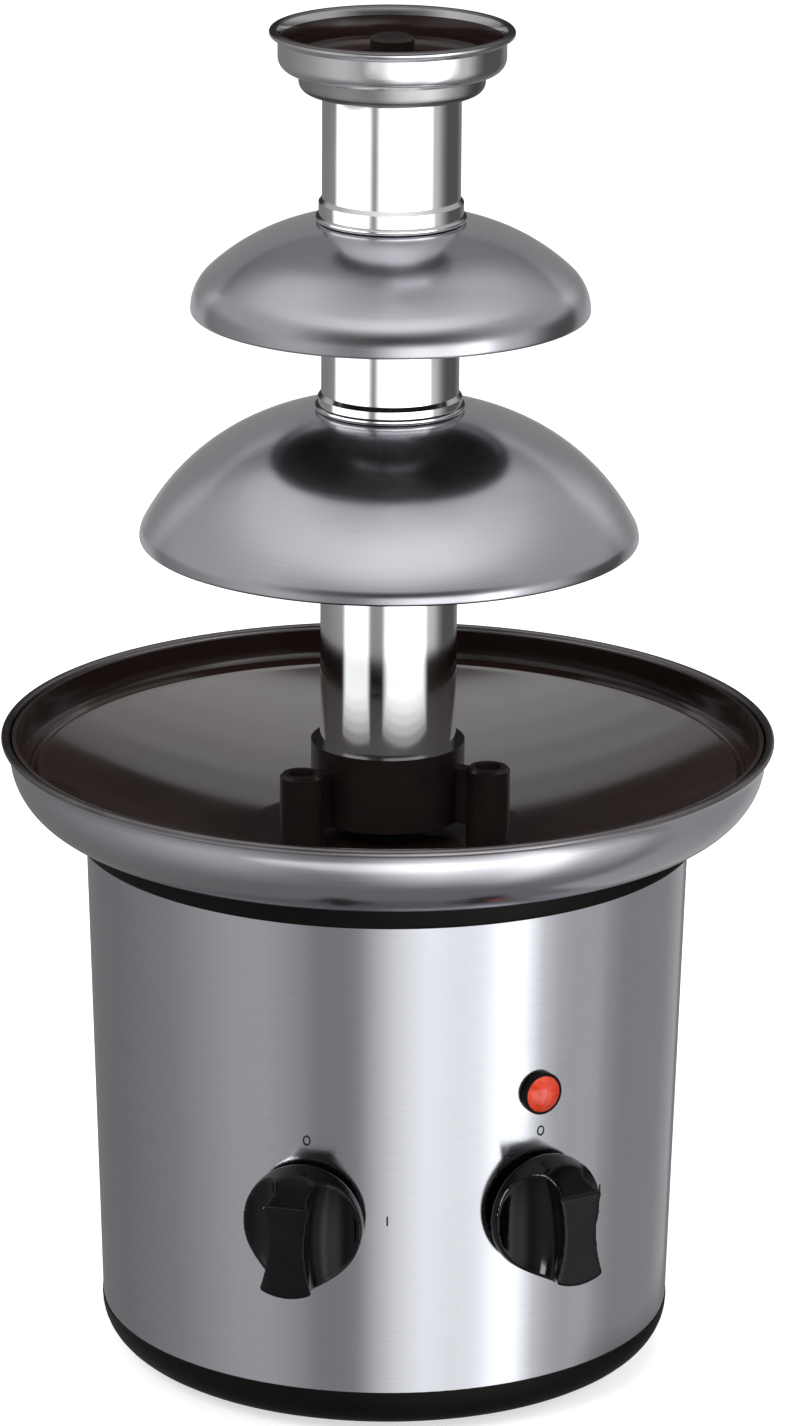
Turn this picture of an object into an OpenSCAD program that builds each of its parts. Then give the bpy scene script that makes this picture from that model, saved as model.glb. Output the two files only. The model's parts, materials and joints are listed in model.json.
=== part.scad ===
// A table-top chocolate fountain: a steel drum base with a motor and a heater, a wide bowl,
// and a tower of stacked tubes and domes with an auger inside. Millimetres, +Z up, front at -Y.
// Angles round the body are counted from the front, positive to the viewer's right.

/* [Body] */
// Diameter of the steel sleeve at its foot
body_foot_d = 164; // [140:1:200]
// Diameter of the steel sleeve at its top
body_top_d = 172.4; // [145:1:210]
// Height of the steel sleeve
sleeve_h = 142.3; // [125:0.5:180]
// Sheet thickness of the sleeve
sleeve_t = 0.8; // [0.5:0.1:1.5]

/* [Base tray] */
// Height of the tray's visible edge below the sleeve
tray_h = 12.7; // [8:0.1:20]
// Thickness of the tray's floor
tray_floor = 2.5; // [2:0.1:5]
// Thickness of the tray's upright rim inside the sleeve
tray_wall = 2.4; // [1.6:0.1:4]
// Height of that rim above the sleeve's foot
tray_rim_h = 9; // [4:0.5:20]
// Radius of the tray's rounded lower edge
tray_round = 12; // [4:0.5:14]
// How far the rubber feet stand out below the tray
foot_h = 2.5; // [1:0.1:6]
// Diameter of a foot
foot_d = 14; // [8:0.5:20]
// Depth of a foot in its pocket
foot_sunk = 2.5; // [1:0.1:5]
// Diameter of the circle of feet
foot_circle_d = 116; // [90:1:130]
// Number of feet
foot_count = 4; // [3:1:6]
// Number of air slots in the tray's floor
vent_count = 24; // [8:1:40]
// Width of an air slot
vent_w = 3; // [1.5:0.1:5]

/* [Top ring] */
// Diameter of the black ring under the bowl
ring_d = 178; // [150:1:215]
// Thickness of the ring's web
ring_web = 4; // [2:0.1:8]
// How far the ring hangs down over the sleeve
ring_lap = 2.5; // [1:0.1:8]
// Depth of the ring's spigot inside the sleeve
ring_spigot_h = 14; // [8:0.5:20]
// Thickness of that spigot
ring_spigot_t = 2.2; // [1.5:0.1:4]

/* [Bowl] */
// Diameter of the bowl over its rolled rim
bowl_d = 220.2; // [190:0.2:260]
// Height of the bowl from the ring to the top of its rim
bowl_h = 23.4; // [21:0.1:40]
// Radius of the rolled rim
rim_r = 1.2; // [0.8:0.1:3]
// Radius of the rounded lower edge of the bowl
bowl_round = 18; // [12:0.5:20]
// Sheet thickness of the outer skirt
skirt_t = 0.6; // [0.4:0.1:1.2]
// Thickness of the coated pan
pan_t = 1.2; // [0.8:0.1:2.5]
// Depth of the pan's middle below the top of the ring
pan_drop = 6.3; // [3:0.1:12]
// Diameter of the pan's flat middle
pan_flat_d = 77; // [72:1:90]
// Width from the edge of the pan's floor to the skirt's wall
pan_edge_w = 8.5; // [6:0.1:12]
// Width of the skirt's flat flange on the ring
flange_w = 6.5; // [5:0.1:10]
// Radius of the dish
dish_r = 218.5; // [200:0.5:400]
// Width of the groove round the floor
groove_w = 2.4; // [1:0.1:3]
// Depth of that groove
groove_d = 0.6; // [0.2:0.1:1]

/* [Tower] */
// Outer diameter of the tubes
tube_d = 38.8; // [30:0.1:44]
// Wall of the tubes
tube_t = 0.8; // [0.5:0.1:1.2]
// Height of the lower tube from its seat to the lower dome
lower_tube_h = 115; // [80:1:160]
// Height of the middle tube from the lower dome to the upper dome
middle_tube_h = 54.1; // [45:1:90]
// Height of the upper tube from the upper dome to the crown
upper_tube_h = 36.5; // [25:1:60]
// Height of the widened end of the middle tube
middle_bell_h = 5; // [4:0.1:10]
// Height of the widened end of the upper tube
upper_bell_h = 6.6; // [4:0.1:10]
// Radius of the curled edge and of the stop beads
curl_r = 0.9; // [0.5:0.1:1.5]
// Diameter of the lower dome
lower_tier_d = 141.2; // [110:0.5:170]
// Height of the lower dome
lower_tier_h = 36.9; // [25:0.1:50]
// Edge radius of the lower dome
lower_edge_r = 7; // [3:0.1:15]
// Angle of the lower dome's edge arc
lower_edge_a = 28; // [15:1:50]
// Diameter of the upper dome
upper_tier_d = 112.2; // [80:0.5:140]
// Height of the upper dome
upper_tier_h = 25.3; // [18:0.1:35]
// Edge radius of the upper dome
upper_edge_r = 13.7; // [5:0.1:18]
// Angle of the upper dome's edge arc
upper_edge_a = 46.6; // [25:0.2:55]
// Sheet thickness of the domes
tier_t = 0.8; // [0.5:0.1:1.5]

/* [Tower base] */
// Gap between the pan's middle and the collar, where the chocolate is drawn in
inlet_gap = 5.3; // [3:0.1:12]
// Height of the collar round the lower tube
collar_h = 21.9; // [12:0.1:30]
// Wall of the collar
collar_t = 2.5; // [1.5:0.1:4]
// Height of the step in the collar that the lower tube stands on
collar_step = 4; // [2:0.1:8]
// Diameter of the circle of posts
post_circle_d = 61.6; // [58:0.2:66]
// Diameter of a post
post_d = 12.4; // [9:0.1:14]
// Height of the posts
post_h = 22.5; // [14:0.1:30]
// Diameter of the holes through the posts
post_hole_d = 7.4; // [5:0.1:9]
// Thickness of the webs between the collar and the posts
web_t = 5; // [3:0.1:8]
// How far the locating pins end below the tops of the posts
pin_drop = 1.5; // [0.5:0.1:5]
// Diameter of the locating pins
pin_d = 6.4; // [4:0.1:8]

/* [Crown] */
// Diameter of the crown over its lip
crown_d = 68.4; // [55:0.2:85]
// Diameter of the upper step of the crown
crown_step1_d = 63.6; // [54:0.2:80]
// Diameter of the lower step of the crown
crown_step2_d = 52; // [46:0.2:60]
// Height of the crown above the upper tube
crown_h = 17.8; // [13:0.1:25]
// Height of the crown's lower step
crown_step2_h = 5.9; // [4:0.1:9]
// Edge radius of the upper step
crown_round1 = 4; // [1.5:0.1:4.5]
// Edge radius of the lower step
crown_round2 = 3; // [1.5:0.1:3.5]
// Radius of the crown's rolled lip
crown_lip_r = 1.15; // [0.6:0.05:1.6]
// Sheet thickness of the crown
crown_t = 0.8; // [0.5:0.1:1.2]
// Depth of the crown's spigot in the upper tube
crown_spigot_h = 12; // [6:0.5:20]

/* [Auger] */
// Diameter of the auger's core
core_d = 12.3; // [10:0.1:16]
// Rise of the flight in one turn
flight_pitch = 24; // [15:1:40]
// Thickness of the flight at the core
flight_root_t = 2.6; // [1.5:0.1:4]
// Thickness of the flight at its edge
flight_edge_t = 1.6; // [1:0.1:3]
// Gap between the flight and the crown's throat
auger_gap = 0.5; // [0.3:0.1:2]
// How far the auger's tip lies below the crown's lip
tip_drop = 2.1; // [0:0.1:5]
// Size across the flats of the hexagon drive
hex_af = 6; // [5:0.1:6.6]
// Length of the hexagon drive
hex_h = 20; // [10:1:30]
// Diameter of the drive shaft
shaft_d = 8; // [7.6:0.1:10]

/* [Gear motor] */
// Height of the posts that carry the motor bracket
bracket_post_h = 57; // [50:1:75]
// Thickness of the motor bracket
bracket_t = 2; // [1.5:0.1:4]
// Diameter of the motor can
can_d = 56; // [50:1:64]
// Height of the motor can
can_h = 38; // [34:1:48]
// Wall of the motor can
can_t = 1.5; // [1:0.1:2.5]
// Diameter of the rotor
rotor_d = 29; // [22:0.5:34]
// Diameter of the rotor's shaft
rotor_shaft_d = 5; // [4:0.1:6]
// Size of the gear teeth
gear_module = 0.75; // [0.7:0.01:0.85]
// Teeth of the two pinions
pinion_teeth = 16; // [16:1:20]
// Teeth of the two wheels
wheel_teeth = 48; // [40:1:56]
// Face width of the wheels
wheel_w = 6; // [4:0.1:8]
// Wall of the gear case
case_t = 2.5; // [1.5:0.1:4]
// Thickness of the gear case's cover
cover_t = 3; // [2:0.1:5]
// Diameter of the pin that the double gear turns on
gear_pin_d = 4; // [3:0.1:5]

/* [Heater] */
// Diameter of the heating ring's centre line
heater_d = 112; // [100:1:124]
// Diameter of the heating tube
heater_tube_d = 6.4; // [5:0.1:8]
// Part of a full turn that the heating tube covers
heater_sweep = 310; // [270:1:330]
// Diameter of the thermal cut-out
cutout_d = 16; // [12:0.5:17]

/* [Controls] */
// Angle of each knob from the front
knob_a = 23; // [16:1:40]
// Height of the knobs' centres above the table
knob_z = 67; // [60:0.5:100]
// Diameter of a knob
knob_d = 34.4; // [28:0.2:40]
// How far a knob stands out
knob_h = 20; // [16:0.5:24]
// Thickness of a knob's grip bar at its waist
grip_t = 6.5; // [6:0.1:9]
// Radius of the hollows beside the grip bar
scoop_r = 10.5; // [9:0.1:11]
// Height on the knob of those hollows' centres
scoop_z = 13.5; // [13:0.1:15]
// Slope of the grip bar's upper end
grip_slope = 25; // [0:1:35]
// Height on the knob where that slope starts
grip_slope_z = 7; // [5:0.1:10]
// Thickness lost by a knob's edge from its foot to its front
knob_draft = 1.4; // [0:0.1:3]
// Gap between a knob and the sleeve
knob_gap = 2.2; // [0.9:0.1:3]
// Diameter of the switch spindles
spindle_d = 6; // [4:0.1:6.4]
// Width of a switch body
switch_w = 22; // [18:0.5:28]
// Depth of a switch body
switch_depth = 16; // [12:0.5:22]
// Angle of the lamp from the front
lamp_a = 22.5; // [0:0.1:40]
// Height of the lamp's centre above the table
lamp_z = 102.2; // [95:0.1:140]
// Diameter of the lamp's bezel
lamp_d = 12.2; // [9.6:0.1:16]
// Height of the cord gland's centre above the table
gland_z = 34; // [30:0.5:60]
// Diameter of the hole in the cord gland
gland_hole_d = 7.2; // [5:0.1:8]

/* [Fits] */
// Radial clearance of parts that slip over each other
fit_slip = 0.1; // [0.05:0.01:0.2]
// Radial clearance of a turning shaft in its bearing
fit_run = 0.05; // [0.02:0.01:0.1]
// Radial clearance of parts that are pressed together
fit_press = 0.02; // [0.01:0.01:0.05]
// Gap under a part that lifts off its seat
seat_gap = 0.05; // [0.02:0.01:0.1]
// Clearance between moving parts
run_gap = 0.4; // [0.3:0.05:0.8]

/* [Hidden] */
$fn = 96;
arc_n = 10;

// Heights of the stack above the table
z_tray = foot_h;
z_sleeve = z_tray + tray_h;
z_sleeve_top = z_sleeve + sleeve_h;
z_bowl = z_sleeve_top + ring_web;
z_rim = z_bowl + bowl_h;
z_floor = z_bowl - pan_drop;
z_collar = z_floor + inlet_gap;
z_tube = z_collar + collar_step;
z_tier1 = z_tube + lower_tube_h;
z_tier2 = z_tier1 + middle_tube_h;
z_crown = z_tier2 + upper_tube_h;
z_lip = z_crown + crown_h;

// Radii that several pieces share
tube_r = tube_d / 2;
tube_in_r = tube_r - tube_t;
bell_in_r = tube_r + fit_slip;
bell_r = bell_in_r + tube_t;
neck_r = tube_r + fit_slip;
bell_step = 1.2;
bell_play = 0.5;
throat_r = tube_in_r - fit_slip - crown_t;
flight_r = throat_r - auger_gap;
collar_r = tube_r + fit_press + collar_t;
post_r = post_circle_d / 2;
post_angles = [-60, 60, 180];
shaft_r = shaft_d / 2;
skirt_r = bowl_d / 2 - 2 * rim_r;
skirt_c = [skirt_r - bowl_round, z_bowl + bowl_round];
skirt_flange_r = min(ring_d / 2, skirt_c[0]) - flange_w;
pan_floor_r = skirt_r - pan_edge_w;
pan_gap = 0.1;
dish_c = [0, z_floor + sqrt(dish_r * dish_r - pow(pan_flat_d / 2, 2))];
function dish_z(r, below = 0) = dish_c[1] - sqrt(pow(dish_r + below, 2) - r * r);
function body_r(z) = (body_foot_d + (body_top_d - body_foot_d) * (z - z_sleeve) / sleeve_h) / 2;

// The auger and its drive
seal_flange_t = 1.2;
bush_r = shaft_r + 3;
pan_hole_r = bush_r + 1;
hub_t = 3;
hub_h = 13;
hub_r = bush_r + 4;
hub_arm_r = 6;
z_hub = z_floor - pan_t - hub_t;
z_auger = z_floor + seal_flange_t + 0.3;
z_tip = z_lip - tip_drop;

// The gear train: the motor and the auger share one axis, the double gear stands behind it
gear_a = gear_module * (pinion_teeth + wheel_teeth) / 2;
addendum = 0.9;
dedendum = 1.2;
pressure_a = 20;
flank_n = 3;
tooth_thin = 0.16;
wheel_r = gear_module * (wheel_teeth / 2 + addendum);
half_tooth = 180 / wheel_teeth;
case_r = wheel_r + 3;
z_bracket = z_tray + tray_floor + bracket_post_h;
z_case = z_bracket + bracket_t;
z_inside = z_case + case_t;
z_wheel1 = z_inside + 2.5;
pinion1_w = wheel_w + 2;
z_wheel2 = z_wheel1 + wheel_w + 3;
z_pinion2_top = z_wheel2 + wheel_w + 1;
z_cover = z_pinion2_top + 9;
cover_boss_h = 8;
cover_boss_r = shaft_r + 5;
z_clip = z_cover + cover_t + cover_boss_h + seat_gap;
clip_t = 1;
ear_r = 4;
ear_x = case_r + case_t + 1;
ear_spots = [[ear_x, 0], [-ear_x, 0], [ear_x, gear_a], [-ear_x, gear_a]];
can_ear_x = can_d / 2 + 5;
bracket_r = max(norm([ear_x, gear_a]), can_ear_x) + 6;
bracket_post_r = 6;
bracket_post_circle = 58;
bracket_angles = [60, 180, -60];
screw_r = 1.5;
screw_head_r = 3;
screw_head_h = 2;

// The tie rods that pull the ring, the sleeve and the tray together
tie_circle = 65.5;
tie_angles = [0, 120, -120];
tie_r = 2;
tie_head_r = 4;
tie_head_h = 2;
tie_boss_r = 4.5;
lug_h = 8;
stud_circle = skirt_flange_r - 3;
ring_hole_r = stud_circle - 4;
stud_angles = [60, 180, -60];
stud_h = 10;
nut_h = 3;

// The controls
knob_body_r = body_r(knob_z);
knob_foot = knob_body_r + knob_gap;
knob_nut_gap = 0.3;
knob_nut_h = 1.8;
switch_bush_r = spindle_d / 2 + 1.5;
switch_nut_r = switch_bush_r + 1.9;
knob_recess_r = switch_nut_r + 1.5;
knob_recess_h = 3;
knob_bore_h = scoop_z - 5;
spindle_sunk = 8;
switch_front = sqrt(pow(body_r(knob_z - switch_w / 2) - sleeve_t, 2) - pow(switch_w / 2, 2)) - 0.2;
lamp_body_r = body_r(lamp_z);
lamp_r = lamp_d / 2;
lens_r = lamp_r - 0.85;
barrel_r = lamp_r - 1.35;
barrel_bore_r = barrel_r - 0.9;
barrel_depth = 8;
gland_body_r = body_r(gland_z);
gland_r = gland_hole_d / 2 + 2.6;
gland_flange_r = gland_r + 2;
gland_nut_depth = sqrt(pow(body_r(gland_z - gland_flange_r) - sleeve_t, 2) - pow(gland_flange_r, 2)) - 0.2;
gland_in = gland_nut_depth - 6;

// Finishes
c_steel = [0.78, 0.78, 0.8];
c_bright = [0.88, 0.88, 0.9];
c_black = [0.07, 0.06, 0.06];
c_brown = [0.25, 0.16, 0.13];
c_brass = [0.8, 0.65, 0.3];
c_white = [0.9, 0.9, 0.88];
c_rubber = [0.12, 0.12, 0.12];

// Points on an arc about c, from angle a0 to a1
function arc(c, r, a0, a1, n = arc_n) =
    [for (i = [0:n]) c + r * [cos(a0 + (a1 - a0) * i / n), sin(a0 + (a1 - a0) * i / n)]];

// A point at radius r and angle a
function polar(r, a) = [r * cos(a), r * sin(a)];

// Puts children on the body: their +Z points out at angle a, their +Y points up
module on_body(a, z) {
    rotate([0, 0, a]) translate([0, 0, z]) rotate([90, 0, 0]) children();
}

// Repeats children at each angle on a circle, the first angle at the front
module round_body(angles, r) {
    for (a = angles) rotate([0, 0, a]) translate([0, -r, 0]) children();
}

// A round tube or ring
module ring(r_out, r_in, h) {
    difference() {
        cylinder(r = r_out, h = h);
        translate([0, 0, -1]) cylinder(r = r_in, h = h + 2);
    }
}

// A hexagon nut with its bore
module nut(r, bore_r, h) {
    difference() {
        cylinder(r = r, h = h, $fn = 6);
        translate([0, 0, -1]) cylinder(r = bore_r, h = h + 2);
    }
}

// A screw whose head stands on z = 0
module screw(length) {
    cylinder(r = screw_head_r, h = screw_head_h);
    translate([0, 0, -length]) cylinder(r = screw_r, h = length + 1);
}

// The black tray that closes the base from below
module base_tray() {
    r_edge = body_foot_d / 2 + 0.2;
    r_rim = body_foot_d / 2 - sleeve_t - 0.2;
    round_r = min(tray_round, tray_h - 0.5);
    z_top = z_sleeve + tray_rim_h;
    z_in = z_tray + tray_floor;
    foot_step = 360 / foot_count;
    color(c_black) difference() {
        union() {
            rotate_extrude() polygon(concat(
                [[0, z_tray]],
                arc([r_edge - round_r, z_tray + round_r], round_r, -90, 0),
                [[r_edge, z_sleeve], [r_rim, z_sleeve], [r_rim, z_top]],
                [[r_rim - tray_wall, z_top], [r_rim - tray_wall, z_sleeve], [r_edge - round_r, z_in], [0, z_in]]));
            for (i = [0:foot_count - 1])
                rotate([0, 0, foot_step * (i + 0.5)]) translate([foot_circle_d / 2, 0, z_tray])
                    cylinder(d = foot_d + 5, h = foot_sunk + 2.5);
            round_body(bracket_angles, bracket_post_circle) translate([0, 0, z_tray])
                cylinder(r = bracket_post_r, h = z_bracket - z_tray);
            round_body(tie_angles, tie_circle) translate([0, 0, z_tray])
                cylinder(r = tie_boss_r, h = tray_h);
        }
        for (i = [0:foot_count - 1])
            rotate([0, 0, foot_step * (i + 0.5)]) translate([foot_circle_d / 2, 0, z_tray - 1])
                cylinder(d = foot_d + 2 * fit_slip, h = foot_sunk + 1);
        round_body(bracket_angles, bracket_post_circle) translate([0, 0, z_bracket - 14])
            cylinder(r = screw_r + fit_press, h = 15);
        round_body(tie_angles, tie_circle) translate([0, 0, z_tray - 1]) {
            cylinder(r = tie_r + fit_slip, h = tray_h + 2);
            cylinder(r = tie_head_r + fit_slip, h = tie_head_h + 1.5);
        }
        for (i = [0:vent_count - 1])
            rotate([0, 0, 360 * (i + 0.5) / vent_count]) translate([20, -vent_w / 2, z_tray - 1])
                cube([16, vent_w, tray_floor + 2]);
    }
}

// The rubber feet
module feet() {
    step = 360 / foot_count;
    color(c_rubber) for (i = [0:foot_count - 1])
        rotate([0, 0, step * (i + 0.5)]) translate([foot_circle_d / 2, 0, 0])
            rotate_extrude() polygon([[0, 0], [foot_d / 2 - 1, 0], [foot_d / 2, 1],
                [foot_d / 2, foot_h + foot_sunk], [0, foot_h + foot_sunk]]);
}

// The long rods between the tray and the top ring, with their heads sunk in the tray
module tie_rods() {
    color(c_steel) round_body(tie_angles, tie_circle) {
        translate([0, 0, z_tray + 0.5]) cylinder(r = tie_head_r, h = tie_head_h);
        translate([0, 0, z_tray + 1]) cylinder(r = tie_r, h = z_sleeve_top - ring_spigot_h + lug_h - z_tray);
    }
}

// The brushed steel sleeve, with holes for the switches, the lamp and the cord gland
module sleeve() {
    r0 = body_foot_d / 2;
    r1 = body_top_d / 2;
    color(c_steel) difference() {
        rotate_extrude() polygon([[r0, z_sleeve], [r1, z_sleeve_top],
            [r1 - sleeve_t, z_sleeve_top], [r0 - sleeve_t, z_sleeve]]);
        for (a = [-knob_a, knob_a]) on_body(a, knob_z)
            translate([0, 0, r0 / 2]) cylinder(r = switch_bush_r + fit_slip, h = r0);
        on_body(lamp_a, lamp_z) translate([0, 0, r0 / 2]) cylinder(r = barrel_r + fit_slip, h = r0);
        on_body(180, gland_z) translate([0, 0, r0 / 2]) cylinder(r = gland_r + fit_slip, h = r0);
    }
}

// The black ring that caps the sleeve and carries the bowl
module top_ring() {
    r_out = ring_d / 2;
    r_lap = body_top_d / 2 + 0.3;
    z_spigot = z_sleeve_top - ring_spigot_h;
    r_spigot = body_r(z_spigot) - sleeve_t - 0.2;
    r_inside = r_spigot - ring_spigot_t;
    z_low = z_sleeve_top - ring_lap;
    edge = 1;
    color(c_black) difference() {
        union() {
            rotate_extrude() polygon(concat(
                [[ring_hole_r, z_sleeve_top], [r_inside, z_sleeve_top]],
                [[r_inside, z_spigot], [r_spigot, z_spigot], [r_spigot, z_sleeve_top]],
                [[r_lap, z_sleeve_top], [r_lap, z_low]],
                arc([r_out - edge, z_low + edge], edge, -90, 0, 4),
                arc([r_out - edge, z_bowl - edge], edge, 0, 90, 4),
                [[ring_hole_r, z_bowl]]));
            for (a = tie_angles) rotate([0, 0, a]) translate([0, 0, z_spigot]) {
                translate([0, -tie_circle, 0]) cylinder(r = tie_boss_r, h = lug_h);
                translate([-tie_boss_r, -r_inside - ring_spigot_t / 2, 0])
                    cube([2 * tie_boss_r, r_inside + ring_spigot_t / 2 - tie_circle, lug_h]);
            }
        }
        round_body(tie_angles, tie_circle) translate([0, 0, z_spigot - 1])
            cylinder(r = tie_r + fit_press, h = lug_h + 2);
        round_body(stud_angles, stud_circle) translate([0, 0, z_sleeve_top - 1])
            cylinder(r = screw_r + 0.3, h = ring_web + 2);
    }
}

// The steel outside of the bowl, rolled over at the rim
module bowl_skirt() {
    rim_c = [bowl_d / 2 - rim_r, z_rim - rim_r];
    inner = skirt_r - skirt_t;
    color(c_bright) rotate_extrude() polygon(concat(
        [[skirt_flange_r, z_bowl]],
        arc(skirt_c, bowl_round, -90, 0),
        [[skirt_r, z_rim - 3 * rim_r]],
        arc(rim_c, rim_r, -120, 180),
        [[inner, z_rim - 2 * rim_r]],
        arc(skirt_c, bowl_round - skirt_t, 0, -90),
        [[skirt_flange_r, z_bowl + skirt_t]]));
}

// The lining of the bowl: where its floor ends, and the radii of its upright wall
pan_wall_out = bowl_round - skirt_t - pan_gap;
pan_wall_in = pan_wall_out - pan_t;
ledge_z = dish_z(pan_floor_r) - 0.4;
ledge_under_z = ledge_z - groove_d - 0.6;
seam_r = pan_floor_r + groove_w;

// The coated floor of the bowl: a dish with a groove round it, held by studs
module bowl_pan() {
    r0 = pan_floor_r;
    dish_a0 = -acos(pan_flat_d / 2 / dish_r);
    dish_a1 = -acos(r0 / dish_r);
    color(c_brown) difference() {
        union() {
            rotate_extrude() polygon(concat(
                [[pan_hole_r, z_floor]],
                arc(dish_c, dish_r, dish_a0, dish_a1),
                [[r0 + 0.5, ledge_z], [r0 + 0.6, ledge_z - groove_d], [seam_r - 0.1, ledge_z - groove_d]],
                [[seam_r, ledge_z], [seam_r, ledge_under_z]],
                arc(dish_c, dish_r + pan_t, dish_a1, dish_a0),
                [[pan_hole_r, z_floor - pan_t]]));
            round_body(stud_angles, stud_circle) translate([0, 0, z_sleeve_top - stud_h])
                cylinder(r = screw_r, h = dish_z(stud_circle, pan_t) + 0.7 - z_sleeve_top + stud_h);
        }
        round_body(post_angles, post_r) translate([0, 0, z_floor - 10]) cylinder(r = screw_r + 0.2, h = 20);
    }
}

// The coated wall of the bowl, crimped to the floor at the groove
module pan_wall() {
    foot_r = seam_r + fit_press;
    z_edge = z_rim - rim_r;
    color(c_brown) rotate_extrude() polygon(concat(
        [[foot_r, ledge_under_z], [foot_r, ledge_z]],
        arc(skirt_c, pan_wall_in, asin((ledge_z - skirt_c[1]) / pan_wall_in), 0),
        [[skirt_c[0] + pan_wall_in, z_edge], [skirt_c[0] + pan_wall_out, z_edge]],
        arc(skirt_c, pan_wall_out, 0, asin((ledge_under_z - skirt_c[1]) / pan_wall_out))));
}

// The nuts on the pan's studs, under the ring's web
module pan_nuts() {
    color(c_steel) round_body(stud_angles, stud_circle) translate([0, 0, z_sleeve_top - nut_h])
        nut(3.2, screw_r + fit_press, nut_h);
}

// The steel pins that the tower stands over
module tower_pins() {
    top = z_floor + post_h - pin_drop;
    r = pin_d / 2;
    color(c_bright) round_body(post_angles, post_r) {
        rotate_extrude() polygon([[0, z_floor], [r, z_floor], [r, top - 0.8], [r - 0.8, top], [0, top]]);
        translate([0, 0, z_floor - 9]) cylinder(r = screw_r, h = 9.5);
    }
}

// The nuts under the hub plate
module pin_nuts() {
    color(c_steel) round_body(post_angles, post_r) translate([0, 0, z_hub - nut_h])
        nut(3.2, screw_r + fit_press, nut_h);
}

// The spider under the pan that holds the upper bearing
module hub_plate() {
    color(c_black) difference() {
        union() {
            translate([0, 0, z_hub]) cylinder(r = hub_r + hub_t, h = hub_t);
            translate([0, 0, z_hub - hub_h]) cylinder(r = hub_r, h = hub_h + hub_t / 2);
            for (a = post_angles) rotate([0, 0, a]) {
                translate([-hub_arm_r, -post_r, z_hub]) cube([2 * hub_arm_r, post_r, hub_t]);
                translate([0, -post_r, z_hub]) cylinder(r = hub_arm_r, h = hub_t);
            }
        }
        translate([0, 0, z_hub - hub_h - 1]) cylinder(r = bush_r + fit_press, h = hub_h + hub_t + 2);
        round_body(post_angles, post_r) translate([0, 0, z_hub - 1]) cylinder(r = screw_r + 0.2, h = hub_t + 2);
    }
}

// The bronze bearing of the drive shaft
module shaft_bush() {
    color(c_brass) translate([0, 0, z_hub - hub_h]) ring(bush_r, shaft_r + fit_run, hub_h - 1);
}

// The rubber seal where the shaft comes up through the pan
module shaft_seal() {
    z_pan = z_floor - pan_t;
    neck = pan_hole_r - fit_press;
    color(c_rubber) rotate_extrude() polygon([
        [shaft_r + fit_run, z_hub], [bush_r, z_hub], [bush_r, z_pan], [neck, z_pan], [neck, z_floor],
        [neck + 3, z_floor], [neck + 2, z_floor + seal_flange_t], [shaft_r + fit_run, z_floor + seal_flange_t]]);
}

// Where the heating tube's centre line lies under the dish
heater_tube_r = heater_tube_d / 2;
heater_r = heater_d / 2;
heater_gap = 0.15;
heater_z = dish_z(heater_r, pan_t + heater_gap + heater_tube_r);
heater_end_h = 12;

// The heating tube under the pan, with its two ends turned down at the back
module heater_ring() {
    a0 = 90 + (360 - heater_sweep) / 2;
    color(c_steel) {
        rotate([0, 0, a0]) rotate_extrude(angle = heater_sweep)
            translate([heater_r, heater_z]) circle(r = heater_tube_r);
        for (a = [a0, a0 + heater_sweep]) rotate([0, 0, a])
            translate([heater_r, 0, heater_z - heater_end_h]) {
                cylinder(r = heater_tube_r, h = heater_end_h);
                translate([-2.4, -0.4, -6]) cube([4.8, 0.8, 7]);
            }
    }
}

// The clips that hold the heating tube against the pan
module heater_clips() {
    slope = asin(heater_r / (dish_r + pan_t));
    r_in = heater_tube_r + 0.05;
    r_out = r_in + 1;
    clip_a = 10;
    top = heater_tube_r + heater_gap - 0.05;
    color(c_steel) for (a = [-60, 50, 170]) rotate([0, 0, a - clip_a / 2]) rotate_extrude(angle = clip_a)
        translate([heater_r, heater_z]) rotate(slope) difference() {
            union() {
                circle(r = r_out);
                translate([-r_out - 5, top - 1]) square([2 * r_out + 10, 1]);
            }
            circle(r = r_in);
            translate([-r_out - 1, top]) square(2 * r_out + 2);
        }
}

// The thermal cut-out against the pan's flat middle
module thermal_cutout() {
    z = z_floor - pan_t;
    color(c_white) round_body([0], pan_flat_d / 2 - cutout_d / 2 - 4) {
        translate([0, 0, z - 4]) cylinder(d = cutout_d, h = 4);
        translate([0, 0, z - 9]) cylinder(d = cutout_d - 4, h = 6);
        for (s = [-1, 1]) translate([s * 3 - 0.4, -2.4, z - 16]) cube([0.8, 4.8, 8]);
    }
}

// The steel plate between the motor and the gear case, on the tray's posts
module motor_bracket() {
    color(c_steel) difference() {
        union() {
            translate([0, 0, z_bracket]) cylinder(r = bracket_r, h = bracket_t);
            round_body(bracket_angles, bracket_post_circle) translate([0, 0, z_bracket])
                cylinder(r = bracket_post_r + 2, h = bracket_t);
            for (a = bracket_angles) rotate([0, 0, a])
                translate([-bracket_post_r - 2, -bracket_post_circle, z_bracket])
                    cube([2 * bracket_post_r + 4, bracket_post_circle, bracket_t]);
        }
        translate([0, 0, z_bracket - 1]) cylinder(r = rotor_shaft_d / 2 + 3.5, h = bracket_t + 2);
        round_body(bracket_angles, bracket_post_circle) translate([0, 0, z_bracket - 1])
            cylinder(r = screw_r + fit_slip, h = bracket_t + 2);
        for (s = [-1, 1]) translate([s * can_ear_x, 0, z_bracket - 1])
            cylinder(r = screw_r + fit_slip, h = bracket_t + 2);
        for (p = ear_spots) translate([p[0], p[1], z_bracket - 1])
            cylinder(r = screw_r + fit_slip, h = bracket_t + 2);
    }
}

// The screws of the bracket
module bracket_screws() {
    color(c_steel) round_body(bracket_angles, bracket_post_circle) translate([0, 0, z_bracket + bracket_t])
        screw(bracket_t + 10);
}

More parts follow.
